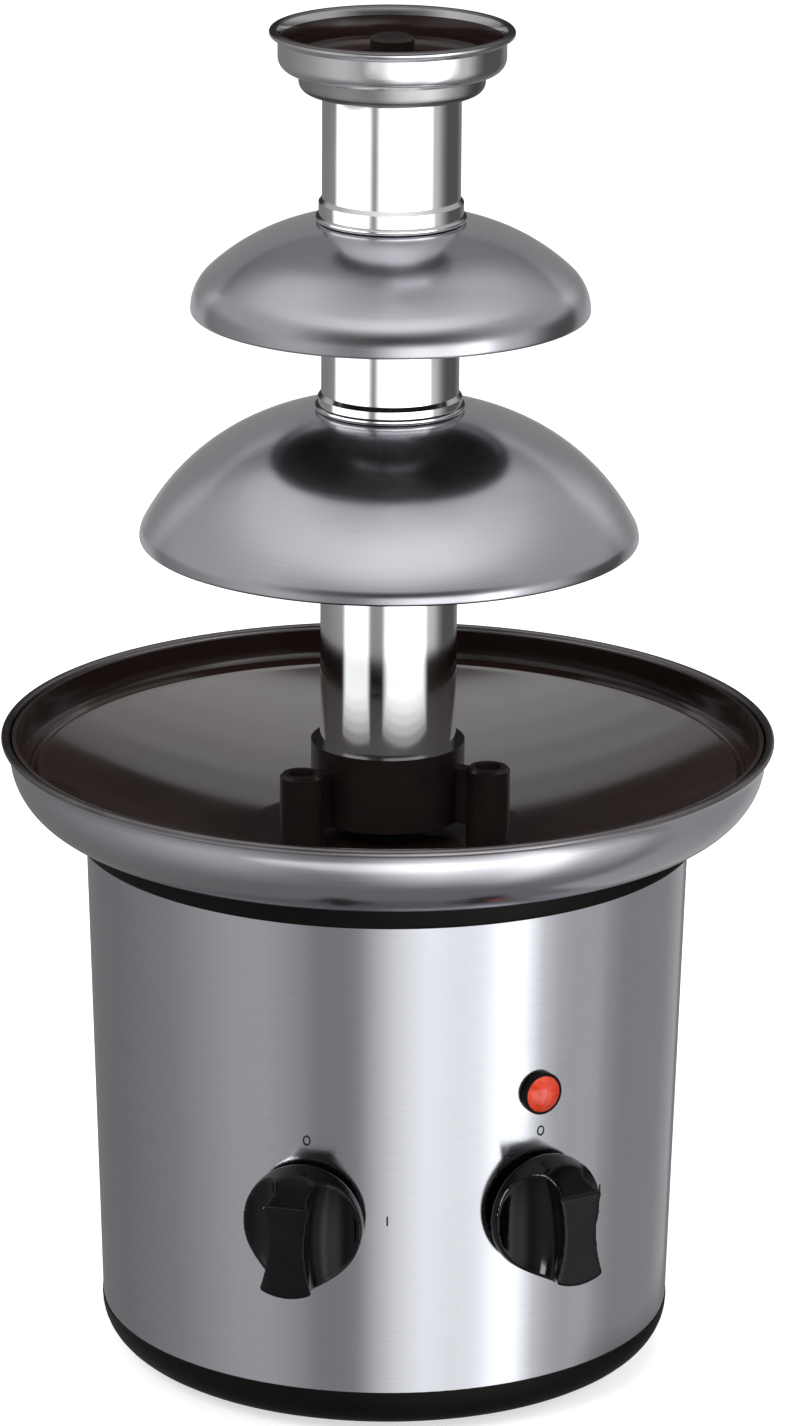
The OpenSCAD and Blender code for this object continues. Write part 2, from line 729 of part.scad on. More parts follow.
// The motor's steel can, with a bearing at each end and two ears
module motor_can() {
    bearing_r = rotor_shaft_d / 2 + fit_run;
    boss_r = rotor_shaft_d / 2 + 3;
    z0 = z_bracket - can_h;
    color(c_steel) difference() {
        union() {
            difference() {
                translate([0, 0, z0]) cylinder(d = can_d, h = can_h);
                translate([0, 0, z0 + can_t]) cylinder(d = can_d - 2 * can_t, h = can_h - 2 * can_t);
            }
            translate([0, 0, z0]) cylinder(r = boss_r, h = 5);
            translate([0, 0, z_bracket - 5]) cylinder(r = boss_r, h = 5);
            difference() {
                for (s = [-1, 1]) {
                    translate([s * can_ear_x, 0, z_bracket - can_t]) cylinder(r = 5, h = can_t);
                    translate([s * can_ear_x / 2 - can_ear_x / 2, -5, z_bracket - can_t])
                        cube([can_ear_x, 10, can_t]);
                }
                translate([0, 0, z_bracket - can_t - 1]) cylinder(d = can_d - can_t, h = can_t + 2);
            }
        }
        translate([0, 0, z0 + 1]) cylinder(r = bearing_r, h = can_h);
        for (s = [-1, 1]) translate([s * can_ear_x, 0, z_bracket - can_t - 1])
            cylinder(r = screw_r + fit_press, h = can_t + 2);
    }
}

// The two screws of the motor can
module motor_screws() {
    color(c_steel) for (s = [-1, 1]) translate([s * can_ear_x, 0, z_bracket + bracket_t])
        screw(bracket_t + can_t + 2);
}

stator_h = 14;
z_stator = z_bracket - can_h / 2 - stator_h / 2;

// The laminated stator, pressed into the can, with slots for the coils
module stator() {
    r_out = can_d / 2 - can_t - fit_press;
    r_in = rotor_d / 2 + run_gap;
    slot_r = 2.2;
    slots = 12;
    color(c_steel) translate([0, 0, z_stator]) difference() {
        ring(r_out, r_in, stator_h);
        for (i = [0:slots - 1]) rotate([0, 0, 360 * i / slots])
            translate([(r_out + r_in) / 2, 0, -1]) cylinder(r = slot_r, h = stator_h + 2);
    }
}

// The copper end turns of the coils, above and below the stator
module windings() {
    r_mid = (can_d / 2 - can_t + rotor_d / 2 + run_gap) / 2;
    coil_r = 3.2;
    color(c_brass) for (z = [z_stator - coil_r, z_stator + stator_h + coil_r])
        rotate_extrude() translate([r_mid, z]) circle(r = coil_r);
}

// The rotor and its shaft
module rotor() {
    r = rotor_shaft_d / 2;
    rotor_h = stator_h + 2;
    color(c_steel) {
        translate([0, 0, z_stator - 1]) cylinder(d = rotor_d, h = rotor_h);
        translate([0, 0, z_bracket - can_h + 1.3]) cylinder(r = r, h = z_wheel1 + pinion1_w + can_h - z_bracket - 2);
    }
}

// Half the angle of a tooth at radius r, thinned for backlash
function inv_deg(a) = tan(a) * 180 / PI - a;
function base_r(n) = gear_module * n / 2 * cos(pressure_a);
function tooth_half(n, r) = 90 / n - tooth_thin / (gear_module * n) * 180 / PI
    + inv_deg(pressure_a) - inv_deg(acos(min(1, base_r(n) / r)));

// The outline of a spur gear with n involute teeth, one tooth on the +X axis
function gear_outline(n) = let (
        root = gear_module * (n / 2 - dedendum),
        tip = gear_module * (n / 2 + addendum),
        start = max(root, base_r(n)),
        flank = [for (k = [0:flank_n]) start + (tip - start) * k / flank_n],
        foot = root < start ? [root] : [])
    [for (i = [0:n - 1]) each concat(
        [for (r = foot) polar(r, 360 * i / n - tooth_half(n, start))],
        [for (r = flank) polar(r, 360 * i / n - tooth_half(n, r))],
        [for (k = [flank_n:-1:0]) polar(flank[k], 360 * i / n + tooth_half(n, flank[k]))],
        [for (r = foot) polar(r, 360 * i / n + tooth_half(n, start))])];

// The brass pinion on the rotor's shaft
module motor_pinion() {
    color(c_brass) translate([0, 0, z_wheel1 - 1]) difference() {
        linear_extrude(pinion1_w) polygon(gear_outline(pinion_teeth));
        translate([0, 0, -1]) cylinder(r = rotor_shaft_d / 2 + fit_press, h = pinion1_w + 2);
    }
}

// The double gear: a wheel driven by the motor and a pinion that drives the auger
module reduction_gear() {
    w = z_pinion2_top - z_wheel1 - wheel_w;
    color(c_white) translate([0, gear_a, z_wheel1]) difference() {
        union() {
            rotate([0, 0, 90 + half_tooth]) linear_extrude(wheel_w) polygon(gear_outline(wheel_teeth));
            translate([0, 0, wheel_w - 0.5]) rotate([0, 0, 90])
                linear_extrude(w + 0.5) polygon(gear_outline(pinion_teeth));
        }
        translate([0, 0, -1]) cylinder(r = gear_pin_d / 2 + fit_run, h = wheel_w + w + 2);
    }
}

// The wheel on the drive shaft
module output_gear() {
    hub_r = shaft_r + 3;
    color(c_white) translate([0, 0, z_wheel2]) difference() {
        union() {
            rotate([0, 0, 90 + half_tooth]) linear_extrude(wheel_w) polygon(gear_outline(wheel_teeth));
            cylinder(r = hub_r, h = z_cover - run_gap - z_wheel2);
        }
        translate([0, 0, -1]) cylinder(r = shaft_r + fit_press, h = z_cover - z_wheel2 + 2);
    }
}

// The plan of the gear case, larger by e
module case_plan(e) {
    circle(r = case_r + e);
    translate([0, gear_a]) circle(r = case_r + e);
    translate([-case_r - e, 0]) square([2 * (case_r + e), gear_a]);
}

module case_ears() {
    for (p = ear_spots) {
        translate(p) circle(r = ear_r);
        translate([min(p[0], 0), p[1] - ear_r]) square([abs(p[0]), 2 * ear_r]);
    }
}

// The gear case on the bracket, open at the top
module gearbox_case() {
    color(c_white) difference() {
        union() {
            translate([0, 0, z_case]) linear_extrude(z_cover - z_case) difference() {
                union() {
                    case_plan(case_t);
                    case_ears();
                }
                case_plan(0);
            }
            translate([0, 0, z_case]) linear_extrude(case_t) case_plan(1);
            translate([0, gear_a, z_case]) cylinder(r = gear_pin_d / 2 + 3, h = z_wheel1 - run_gap - z_case);
        }
        translate([0, 0, z_case - 1]) cylinder(r = gear_module * (pinion_teeth / 2 + addendum) + 1, h = case_t + 2);
        translate([0, gear_a, z_case - 1]) cylinder(r = gear_pin_d / 2 + fit_press, h = z_cover);
        for (p = ear_spots) translate([p[0], p[1], z_case - 1])
            cylinder(r = screw_r + fit_slip, h = z_cover - z_case + 2);
    }
}

// The cover of the gear case, with the lower bearing of the drive shaft
module gearbox_cover() {
    color(c_white) difference() {
        union() {
            translate([0, 0, z_cover]) linear_extrude(cover_t) {
                case_plan(case_t);
                case_ears();
            }
            translate([0, 0, z_cover]) cylinder(r = cover_boss_r, h = cover_t + cover_boss_h);
            translate([0, gear_a, z_pinion2_top + run_gap])
                cylinder(r = gear_pin_d / 2 + 2, h = z_cover - z_pinion2_top);
        }
        translate([0, 0, z_cover - 1]) cylinder(r = shaft_r + fit_run, h = cover_t + cover_boss_h + 2);
        translate([0, gear_a, z_pinion2_top]) cylinder(r = gear_pin_d / 2 + fit_press, h = z_cover - z_pinion2_top + 1);
        for (p = ear_spots) translate([p[0], p[1], z_cover - 1])
            cylinder(r = screw_r + fit_slip, h = cover_t + 2);
    }
}

// The long screws through the gear case into the bracket
module gearbox_screws() {
    color(c_steel) for (p = ear_spots) translate([p[0], p[1], z_cover + cover_t])
        screw(z_cover + cover_t - z_bracket);
}

// The pin that the double gear turns on
module gear_pin() {
    color(c_steel) translate([0, gear_a, z_case]) cylinder(d = gear_pin_d, h = z_cover + 0.8 - z_case);
}

// The drive shaft: round in its bearings, a hexagon in the auger
module drive_shaft() {
    z0 = z_wheel2;
    color(c_bright) {
        translate([0, 0, z0]) cylinder(r = shaft_r, h = z_auger - z0);
        translate([0, 0, z_auger - 0.5]) cylinder(r = hex_af / sqrt(3), h = hex_h + 0.5, $fn = 6);
    }
}

// The clip that keeps the drive shaft from sinking
module shaft_clip() {
    color(c_steel) translate([0, 0, z_clip]) ring(cover_boss_r - 1, shaft_r + fit_press, clip_t);
}

// The auger's flight is one closed strip: a ring of four corners climbs the helix
flight_steps = 24;
flight_sunk = 1;
z_flight = z_auger + 0.5;
flight_n = floor((z_crown - crown_spigot_h / 2 - flight_root_t - z_flight) / flight_pitch * flight_steps);
core_r = core_d / 2;
tip_chamfer = 1;
function flight_ring(i) = let (
        a = 360 * i / flight_steps,
        z = z_flight + flight_pitch * i / flight_steps,
        thin = (flight_root_t - flight_edge_t) / 2,
        root_r = core_r - flight_sunk)
    [for (p = [[root_r, z], [flight_r, z + thin], [flight_r, z + flight_root_t - thin], [root_r, z + flight_root_t]])
        [p[0] * cos(a), p[0] * sin(a), p[1]]];

// The helical flight
module flight() {
    sides = [for (i = [0:flight_n - 1], k = [0:3]) let (a = 4 * i + k, b = 4 * i + (k + 1) % 4)
        each [[a, b, a + 4], [b, b + 4, a + 4]]];
    last = 4 * flight_n;
    ends = [[3, 2, 1, 0], [last, last + 1, last + 2, last + 3]];
    polyhedron([for (i = [0:flight_n]) each flight_ring(i)], concat(sides, ends), convexity = 20);
}

// The auger: a turned core with a chamfered tip and a hexagon socket, and the flight wound round it
module auger() {
    z0 = z_auger + seat_gap;
    color(c_brown) difference() {
        union() {
            rotate_extrude() polygon([[0, z0], [core_r, z0], [core_r, z_tip - tip_chamfer],
                [core_r - tip_chamfer, z_tip], [0, z_tip]]);
            flight();
        }
        translate([0, 0, z_auger - 1]) cylinder(r = hex_af / sqrt(3) + fit_slip, h = hex_h + 1.5, $fn = 6);
    }
}

// The collar and the three posts that stand over the locating pins
module tower_base() {
    z0 = z_floor + seat_gap;
    web_drop = 1.2;
    edge = 0.8;
    color(c_brown) difference() {
        union() {
            translate([0, 0, z_collar]) cylinder(r = collar_r, h = collar_h);
            round_body(post_angles, post_r) rotate_extrude() polygon([[0, z0], [post_d / 2, z0],
                [post_d / 2, z_floor + post_h - edge], [post_d / 2 - edge, z_floor + post_h], [0, z_floor + post_h]]);
            for (a = post_angles) rotate([0, 0, a]) translate([-web_t / 2, -post_r, z_collar])
                cube([web_t, post_r, post_h - inlet_gap - web_drop]);
        }
        translate([0, 0, z_collar - 1]) cylinder(r = tube_in_r, h = collar_h + 2);
        translate([0, 0, z_tube]) cylinder(r = tube_r + fit_press, h = collar_h);
        round_body(post_angles, post_r) translate([0, 0, z_floor - 1]) cylinder(d = post_hole_d, h = post_h + 2);
    }
}

// A stop bead round a tube, just under a dome that ends at z
function stop_bead(z) = arc([tube_r, z - tier_t - curl_r - seat_gap - 0.3], curl_r, -90, 90, 6);

// A widened tube end that stands on a dome at z, as points of its outside and of its inside
function bell_out(z, h) = concat([[bell_in_r, z]], arc([bell_r, z + curl_r], curl_r, -90, 90, 6),
    [[bell_r, z + h - bell_step], [tube_r, z + h]]);
function bell_in(z, h) = [[tube_in_r, z + h - bell_play], [bell_in_r, z + h - bell_step - bell_play]];
function spigot_top(z, h) = z + h - bell_step - bell_play - seat_gap;

// The lower tube, from the collar up into the middle tube
module lower_tube() {
    top = spigot_top(z_tier1, middle_bell_h);
    color(c_bright) rotate_extrude() polygon(concat([[tube_in_r, z_tube], [tube_r, z_tube]],
        stop_bead(z_tier1), [[tube_r, top], [tube_in_r, top]]));
}

// The middle tube, from the lower dome up into the upper tube
module middle_tube() {
    top = spigot_top(z_tier2, upper_bell_h);
    color(c_bright) rotate_extrude() polygon(concat(bell_out(z_tier1 + seat_gap, middle_bell_h),
        stop_bead(z_tier2), [[tube_r, top], [tube_in_r, top]], bell_in(z_tier1 + seat_gap, middle_bell_h)));
}

// The upper tube, from the upper dome to the crown
module upper_tube() {
    color(c_bright) rotate_extrude() polygon(concat(bell_out(z_tier2 + seat_gap, upper_bell_h),
        [[tube_r, z_crown], [tube_in_r, z_crown]], bell_in(z_tier2 + seat_gap, upper_bell_h)));
}

// Radius of a dome's broad arc, which runs on from the edge arc and ends at the neck
function broad_r(d, h, er, ea) = let (p = [neck_r - d / 2 + er, h], q = p * [cos(ea), sin(ea)])
    (2 * er * q - p * p - er * er) / (2 * (q - er));

// A dome of sheet whose neck is at height z, rolled inward at its edge
module tier(d, h, er, ea, z) {
    r2 = broad_r(d, h, er, ea);
    c1 = [d / 2 - er, z - h];
    c2 = c1 - (r2 - er) * [cos(ea), sin(ea)];
    neck_out = acos((neck_r - c2[0]) / r2);
    neck_in = acos((neck_r - c2[0]) / (r2 - tier_t));
    hem = asin(1.3 * curl_r / (er - tier_t));
    color(c_steel) rotate_extrude() polygon(concat(
        arc(c2, r2, neck_out, ea, 2 * arc_n),
        arc(c1, er, ea - 2, 0),
        arc([d / 2 - curl_r, z - h], curl_r, -20, -210, 8),
        arc(c1, er - tier_t, hem, ea - 2),
        arc(c2, r2 - tier_t, ea, neck_in, 2 * arc_n)));
}

module lower_tier() {
    tier(lower_tier_d, lower_tier_h, lower_edge_r, lower_edge_a, z_tier1);
}

module upper_tier() {
    tier(upper_tier_d, upper_tier_h, upper_edge_r, upper_edge_a, z_tier2);
}

// The stepped cup at the top of the tower, with a spigot down into the upper tube
module crown() {
    r_spigot = tube_in_r - fit_slip;
    r1 = crown_step1_d / 2;
    r2 = crown_step2_d / 2;
    z0 = z_crown + seat_gap;
    z1 = z_crown + crown_step2_h;
    c1 = [r1 - crown_round1, z1 + crown_round1];
    c2 = [r2 - crown_round2, z0 + crown_round2];
    lip_c = [crown_d / 2 - crown_lip_r, z_lip - crown_lip_r];
    color(c_bright) rotate_extrude() polygon(concat(
        [[throat_r, z_crown - crown_spigot_h], [r_spigot, z_crown - crown_spigot_h], [r_spigot, z0]],
        arc(c2, crown_round2, -90, 0, 6),
        [[r2, z1]],
        arc(c1, crown_round1, -90, 0, 6),
        [[r1, lip_c[1] - 1.8 * crown_lip_r]],
        arc(lip_c, crown_lip_r, -110, 170),
        [[r1 - crown_t, lip_c[1] - 1.2 * crown_lip_r]],
        arc(c1, crown_round1 - crown_t, 0, -90, 6),
        [[r2 - crown_t, z1 + crown_t]],
        arc(c2, crown_round2 - crown_t, 0, -90, 6),
        [[throat_r, z0 + crown_t]]));
}

// A knob with a grip bar across it, the bar upright
module knob(a) {
    color(c_black) on_body(a, knob_z) translate([0, 0, knob_foot]) difference() {
        difference() {
            rotate_extrude() polygon(concat([[0, 0], [knob_d / 2, 0], [knob_d / 2, 2]],
                arc([knob_d / 2 - knob_draft - 1, knob_h - 1], 1, 0, 90, 4), [[0, knob_h]]));
            translate([-knob_d, knob_d / 2, grip_slope_z]) rotate([grip_slope, 0, 0]) cube(2 * knob_d);
        }
        for (s = [-1, 1]) translate([s * (grip_t / 2 + scoop_r), -knob_d, scoop_z])
            rotate([-90, 30, 0]) cylinder(r = scoop_r, h = 2 * knob_d);
        translate([0, 0, -1]) cylinder(r = knob_recess_r, h = knob_recess_h + 1);
        translate([0, 0, 1]) cylinder(d = spindle_d + 2 * fit_press, h = knob_bore_h - 1);
    }
}

module motor_knob() {
    knob(-knob_a);
}

module heat_knob() {
    knob(knob_a);
}

// A switch spindle, from the switch into its knob
module spindle(a) {
    z0 = switch_front - spindle_sunk;
    color(c_steel) on_body(a, knob_z) translate([0, 0, z0])
        cylinder(d = spindle_d, h = knob_foot + knob_bore_h - 0.3 - z0);
}

module motor_spindle() {
    spindle(-knob_a);
}

module heat_spindle() {
    spindle(knob_a);
}

// A rotary switch behind the sleeve, with its threaded bush through it and four tags at the back
module rotary_switch(a) {
    tag_x = switch_w / 2 - 4;
    color(c_white) on_body(a, knob_z) difference() {
        union() {
            translate([-switch_w / 2, -switch_w / 2, switch_front - switch_depth])
                cube([switch_w, switch_w, switch_depth]);
            translate([0, 0, switch_front - 1])
                cylinder(r = switch_bush_r, h = knob_body_r + knob_nut_gap + knob_nut_h + 0.4 - switch_front + 1);
            for (x = [-tag_x, tag_x], y = [-tag_x, tag_x])
                translate([x - 2.4, y - 0.4, switch_front - switch_depth - 7]) cube([4.8, 0.8, 8]);
        }
        translate([0, 0, switch_front - spindle_sunk - run_gap])
            cylinder(d = spindle_d + 2 * fit_run, h = spindle_sunk + knob_body_r);
    }
}

module motor_switch() {
    rotary_switch(-knob_a);
}

module heat_switch() {
    rotary_switch(knob_a);
}

// The nuts that hold the switches, hidden under the knobs
module switch_nuts() {
    color(c_steel) for (a = [-knob_a, knob_a]) on_body(a, knob_z)
        translate([0, 0, knob_body_r + knob_nut_gap]) nut(switch_nut_r, switch_bush_r + fit_press, knob_nut_h);
}

lens_seat = 1;
bezel_h = 2.4;

// The lamp's black bezel and its barrel through the sleeve
module lamp_bezel() {
    color(c_black) on_body(lamp_a, lamp_z) rotate_extrude() translate([0, lamp_body_r]) polygon([
        [barrel_bore_r, -barrel_depth], [barrel_r, -barrel_depth], [barrel_r, 0.25], [lamp_r, 0.25],
        [lamp_r, bezel_h - 0.8], [lamp_r - 0.5, bezel_h], [lens_r + fit_press, bezel_h],
        [lens_r + fit_press, lens_seat], [barrel_bore_r, lens_seat]]);
}

// The lamp's red lens
module lamp_lens() {
    stem_r = barrel_bore_r - fit_press;
    color([0.8, 0.1, 0.05]) on_body(lamp_a, lamp_z) rotate_extrude() translate([0, lamp_body_r]) polygon(concat(
        [[0, -3], [stem_r, -3], [stem_r, lens_seat], [lens_r, lens_seat], [lens_r, bezel_h]],
        [for (t = [10:10:90]) [lens_r * cos(t), bezel_h + 1.6 * sin(t)]]));
}

// The neon bulb in the barrel
module lamp_bulb() {
    color(c_white) on_body(lamp_a, lamp_z) translate([0, 0, lamp_body_r - 13])
        cylinder(r = barrel_bore_r - fit_press, h = 9.9);
}

// The push-on ring that holds the lamp from inside
module lamp_clip() {
    depth = sqrt(pow(body_r(lamp_z - barrel_r - 2) - sleeve_t, 2) - pow(barrel_r + 2, 2)) - 0.1;
    color(c_steel) on_body(lamp_a, lamp_z) translate([0, 0, depth - 1])
        ring(barrel_r + 2, barrel_r + fit_press, 1);
}

// The terminal block on the tray's floor
module terminal_block() {
    size = [30, 16, 13];
    ways = 3;
    pitch = 9;
    color(c_white) rotate([0, 0, -90]) translate([0, 46, z_tray + tray_floor]) difference() {
        translate([-size[0] / 2, -size[1] / 2, 0]) cube(size);
        for (i = [0:ways - 1]) translate([(i - 1) * pitch, 0, 0]) {
            translate([0, -size[1], size[2] / 2]) rotate([-90, 0, 0]) cylinder(r = 2, h = 2 * size[1]);
            translate([0, 4, size[2] / 2]) cylinder(r = 1.8, h = size[2]);
            translate([0, -4, size[2] / 2]) cylinder(r = 1.8, h = size[2]);
        }
    }
}

// The cord gland through the back of the sleeve
module cord_gland() {
    flange_t = 3.5;
    edge = 1.2;
    r = gland_hole_d / 2;
    z1 = gland_body_r + 0.35;
    color(c_black) on_body(180, gland_z) rotate_extrude() polygon([[r, gland_in], [gland_r, gland_in],
        [gland_r, z1], [gland_flange_r, z1], [gland_flange_r, z1 + flange_t - edge],
        [gland_flange_r - edge, z1 + flange_t], [r, z1 + flange_t]]);
}

// The gland's nut inside the sleeve
module gland_nut() {
    color(c_black) on_body(180, gland_z) translate([0, 0, gland_nut_depth - 4])
        nut(gland_flange_r, gland_r + fit_press, 4);
}

base_tray();
feet();
tie_rods();
sleeve();
top_ring();
bowl_skirt();
bowl_pan();
pan_wall();
pan_nuts();
tower_pins();
pin_nuts();
hub_plate();
shaft_bush();
shaft_seal();
heater_ring();
heater_clips();
thermal_cutout();
motor_bracket();
bracket_screws();
motor_can();
motor_screws();
stator();
windings();
rotor();
motor_pinion();
gearbox_case();
gearbox_cover();
gearbox_screws();
gear_pin();
reduction_gear();
output_gear();
drive_shaft();
shaft_clip();
auger();
tower_base();
lower_tube();
lower_tier();
middle_tube();
upper_tier();
upper_tube();
crown();
motor_knob();
heat_knob();
motor_spindle();
heat_spindle();
motor_switch();
heat_switch();
switch_nuts();
lamp_bezel();
lamp_lens();
lamp_bulb();
lamp_clip();
terminal_block();
cord_gland();
gland_nut();
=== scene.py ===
# A table-top chocolate fountain, dressed with its steels, coatings and mouldings in a small studio.
# Sizes are in millimetres and repeat the part's own. Meshes are in metres.
import json
import math
import bmesh
import bpy
from mathutils import Matrix, Vector


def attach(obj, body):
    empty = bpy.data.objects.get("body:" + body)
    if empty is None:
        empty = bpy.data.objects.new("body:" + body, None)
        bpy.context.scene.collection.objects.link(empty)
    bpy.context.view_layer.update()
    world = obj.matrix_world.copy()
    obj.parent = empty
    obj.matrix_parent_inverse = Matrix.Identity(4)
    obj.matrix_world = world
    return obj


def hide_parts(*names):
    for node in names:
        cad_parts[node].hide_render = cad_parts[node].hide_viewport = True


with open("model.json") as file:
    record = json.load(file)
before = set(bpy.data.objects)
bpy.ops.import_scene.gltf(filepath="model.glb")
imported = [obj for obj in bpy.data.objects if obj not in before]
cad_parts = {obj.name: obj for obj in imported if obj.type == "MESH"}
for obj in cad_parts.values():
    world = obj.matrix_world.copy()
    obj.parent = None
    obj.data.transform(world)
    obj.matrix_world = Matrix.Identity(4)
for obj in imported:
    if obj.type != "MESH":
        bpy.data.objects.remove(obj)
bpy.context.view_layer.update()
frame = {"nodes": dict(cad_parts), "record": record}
scene = bpy.context.scene

MM = 0.001

# Steps of a full turn
TOWER_STEPS = 192
BOWL_STEPS = 256
KNOB_STEPS = 128
LAMP_STEPS = 96
RING_STEPS = 48

# Edges that bend more than this many degrees stay sharp, in a made piece and in a plain solid
MADE_SHARP = 32
SOLID_SHARP = 30

# Corners nearer than this many metres are one, in a made piece and in a plain solid
MADE_WELD = 1e-6
SOLID_WELD = 1e-5

# Heights above the table
Z_SLEEVE = 15.2
Z_SLEEVE_TOP = 157.5
Z_FLOOR = 155.2
Z_BOWL = 161.5
Z_RIM = 184.9
Z_TUBE = 164.5
Z_LOWER_DOME = 279.5
Z_UPPER_DOME = 333.6
Z_CROWN = 370.1
Z_LIP = 387.9
SEAT_GAP = 0.05

# The drum's outside and what stands on it, with angles from the front
SLEEVE_R = 82
SLEEVE_FLARE = 4.2
KNOB_Z = 67
MOTOR_A = -23
HEAT_A = 23
LAMP_Z = 102.2
LAMP_A = 22.5

# The tubes, with their widened feet and stop beads, and the sheet that the tower is made of
SHEET = 0.8
TUBE_R = 19.4
TUBE_IN_R = 18.6
BELL_R = 20.3
BELL_IN_R = 19.5
BELL_STEP = 1.2
BELL_PLAY = 0.5
LOWER_BELL_H = 5.0
UPPER_BELL_H = 6.6
CURL_R = 0.9
BEAD_DROP = 2.05
NECK_R = 19.5


def point(r, z):
    """A point in the plane of radius and height, in metres."""
    return Vector((r * MM, 0, z * MM))


class Outline:
    """A turned piece's outline, drawn with lines and arcs in the plane of radius and height."""

    def __init__(self, r, z):
        self.bm = bmesh.new()
        self.first = self.tip = self.bm.verts.new(point(r, z))

    def line(self, *corners):
        """Goes straight to each corner in turn."""
        for r, z in corners:
            self.tip = bmesh.ops.extrude_vert_indiv(self.bm, verts=[self.tip])["verts"][0]
            self.tip.co = point(r, z)
        return self

    def arc(self, r, z, degrees, steps=12):
        """Goes round the centre (r, z), anticlockwise where degrees is positive."""
        out = bmesh.ops.spin(self.bm, geom=[self.tip], cent=point(r, z), axis=(0, -1, 0),
                             dvec=(0, 0, 0), angle=math.radians(degrees), steps=steps)
        self.tip = out["geom_last"][0]
        return self

    def turn(self, closed=True, steps=TOWER_STEPS):
        """Spins the outline about the upright axis into a closed skin."""
        bm = self.bm
        if closed:
            bm.edges.new((self.tip, self.first))
        bmesh.ops.spin(bm, geom=bm.verts[:] + bm.edges[:], cent=(0, 0, 0), axis=(0, 0, 1),
                       dvec=(0, 0, 0), angle=math.tau, steps=steps, use_merge=True)
        bmesh.ops.remove_doubles(bm, verts=bm.verts[:], dist=MADE_WELD)
        bmesh.ops.recalc_face_normals(bm, faces=bm.faces[:])
        return bm


def on_circle(centre, r, degrees):
    """The point at an angle on a circle, in the plane of radius and height."""
    angle = math.radians(degrees)
    return centre[0] + r * math.cos(angle), centre[1] + r * math.sin(angle)


def on_body(degrees, z, out):
    """Puts a piece on the drum: its +Z points out at an angle from the front, its +Y points up."""
    return (Matrix.Rotation(math.radians(degrees), 4, "Z") @ Matrix.Translation((0, 0, z * MM))
            @ Matrix.Rotation(math.radians(90), 4, "X") @ Matrix.Translation((0, 0, out * MM)))


def body_r(z):
    """The drum's radius at a height."""
    return SLEEVE_R + SLEEVE_FLARE * (z - Z_SLEEVE) / (Z_SLEEVE_TOP - Z_SLEEVE)


def to_object(bm, name, *finishes):
    """Makes the piece's object, smooth but for its sharp edges."""
    for face in bm.faces:
        face.smooth = True
    for edge in bm.edges:
        edge.smooth = (len(edge.link_faces) == 2
                       and edge.calc_face_angle() < math.radians(MADE_SHARP))
    mesh = bpy.data.meshes.new(name)
    bm.to_mesh(mesh)
    bm.free()
    piece = bpy.data.objects.new(name, mesh)
    scene.collection.objects.link(piece)
    for finish in finishes:
        mesh.materials.append(finish)
    return piece


def fit(piece, body, slot, *nodes):
    """Sets a piece on its body and hides the solids that it stands for. Its slot is not used."""
    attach(piece, body)
    if nodes:
        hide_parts(*nodes)
    return piece


# Shader nodes, and the groups for the effects that several finishes share


def set_sockets(node, **values):
    """Sets a node's inputs by their names, with _ for a space."""
    for name, value in values.items():
        node.inputs[name.replace("_", " ")].default_value = value


def feed(tree, socket, value):
    """Links an input to another node's output, or sets it to a fixed value."""
    if isinstance(value, bpy.types.NodeSocket):
        tree.links.new(value, socket)
    else:
        socket.default_value = value


def maths(tree, operation, a, b=0.0):
    """A Math node's result, from outputs or numbers."""
    node = tree.nodes.new("ShaderNodeMath")
    node.operation = operation
    for socket, value in zip(node.inputs, (a, b)):
        feed(tree, socket, value)
    return node.outputs[0]


def vector_maths(tree, operation, *vectors):
    """A Vector Math node's outputs, from outputs or fixed vectors."""
    node = tree.nodes.new("ShaderNodeVectorMath")
    node.operation = operation
    for socket, vector in zip(node.inputs, vectors):
        feed(tree, socket, vector)
    return node.outputs


def axes(tree, vector):
    """A vector's x, y and z."""
    node = tree.nodes.new("ShaderNodeSeparateXYZ")
    tree.links.new(vector, node.inputs[0])
    return node.outputs


def noise(tree, vector, scale, detail, roughness=0.55):
    """A Noise Texture's grey, from outputs or numbers."""
    node = tree.nodes.new("ShaderNodeTexNoise")
    for name, value in (("Vector", vector), ("Scale", scale), ("Detail", detail),
                        ("Roughness", roughness)):
        feed(tree, node.inputs[name], value)
    return node.outputs["Fac"]


def new_group(name, *inputs):
    """A shader group with float inputs, given as name and value, and outputs Mask and Height."""
    tree = bpy.data.node_groups.new(name, "ShaderNodeTree")
    for title, value in inputs:
        made = tree.interface.new_socket(title, in_out="INPUT", socket_type="NodeSocketFloat")
        made.default_value = value
    for title in ("Mask", "Height"):
        tree.interface.new_socket(title, in_out="OUTPUT", socket_type="NodeSocketFloat")
    return tree, tree.nodes.new("NodeGroupInput"), tree.nodes.new("NodeGroupOutput")


def turned_grain():
    """Fine lines that run round the upright axis, as a lathe or a brush leaves them."""
    tree, given, result = new_group("turned_grain", ("Lines", 3000.0), ("Streaks", 3.0))
    place = tree.nodes.new("ShaderNodeTexCoord").outputs["Object"]
    flat = vector_maths(tree, "MULTIPLY", place, (1, 1, 0))["Vector"]
    radius = vector_maths(tree, "LENGTH", flat)["Value"]
    way = axes(tree, vector_maths(tree, "NORMALIZE", flat)["Vector"])
    across = maths(tree, "SUBTRACT", radius, axes(tree, place)["Z"])
    join = tree.nodes.new("ShaderNodeCombineXYZ")
    for socket, value, scale in ((join.inputs[0], way["X"], "Streaks"),
                                 (join.inputs[1], way["Y"], "Streaks"),
                                 (join.inputs[2], across, "Lines")):
        tree.links.new(maths(tree, "MULTIPLY", value, given.outputs[scale]), socket)
    fine = noise(tree, join.outputs[0], 1.0, 4.0, 0.7)
    tree.links.new(fine, result.inputs["Mask"])
    tree.links.new(fine, result.inputs["Height"])
    return tree


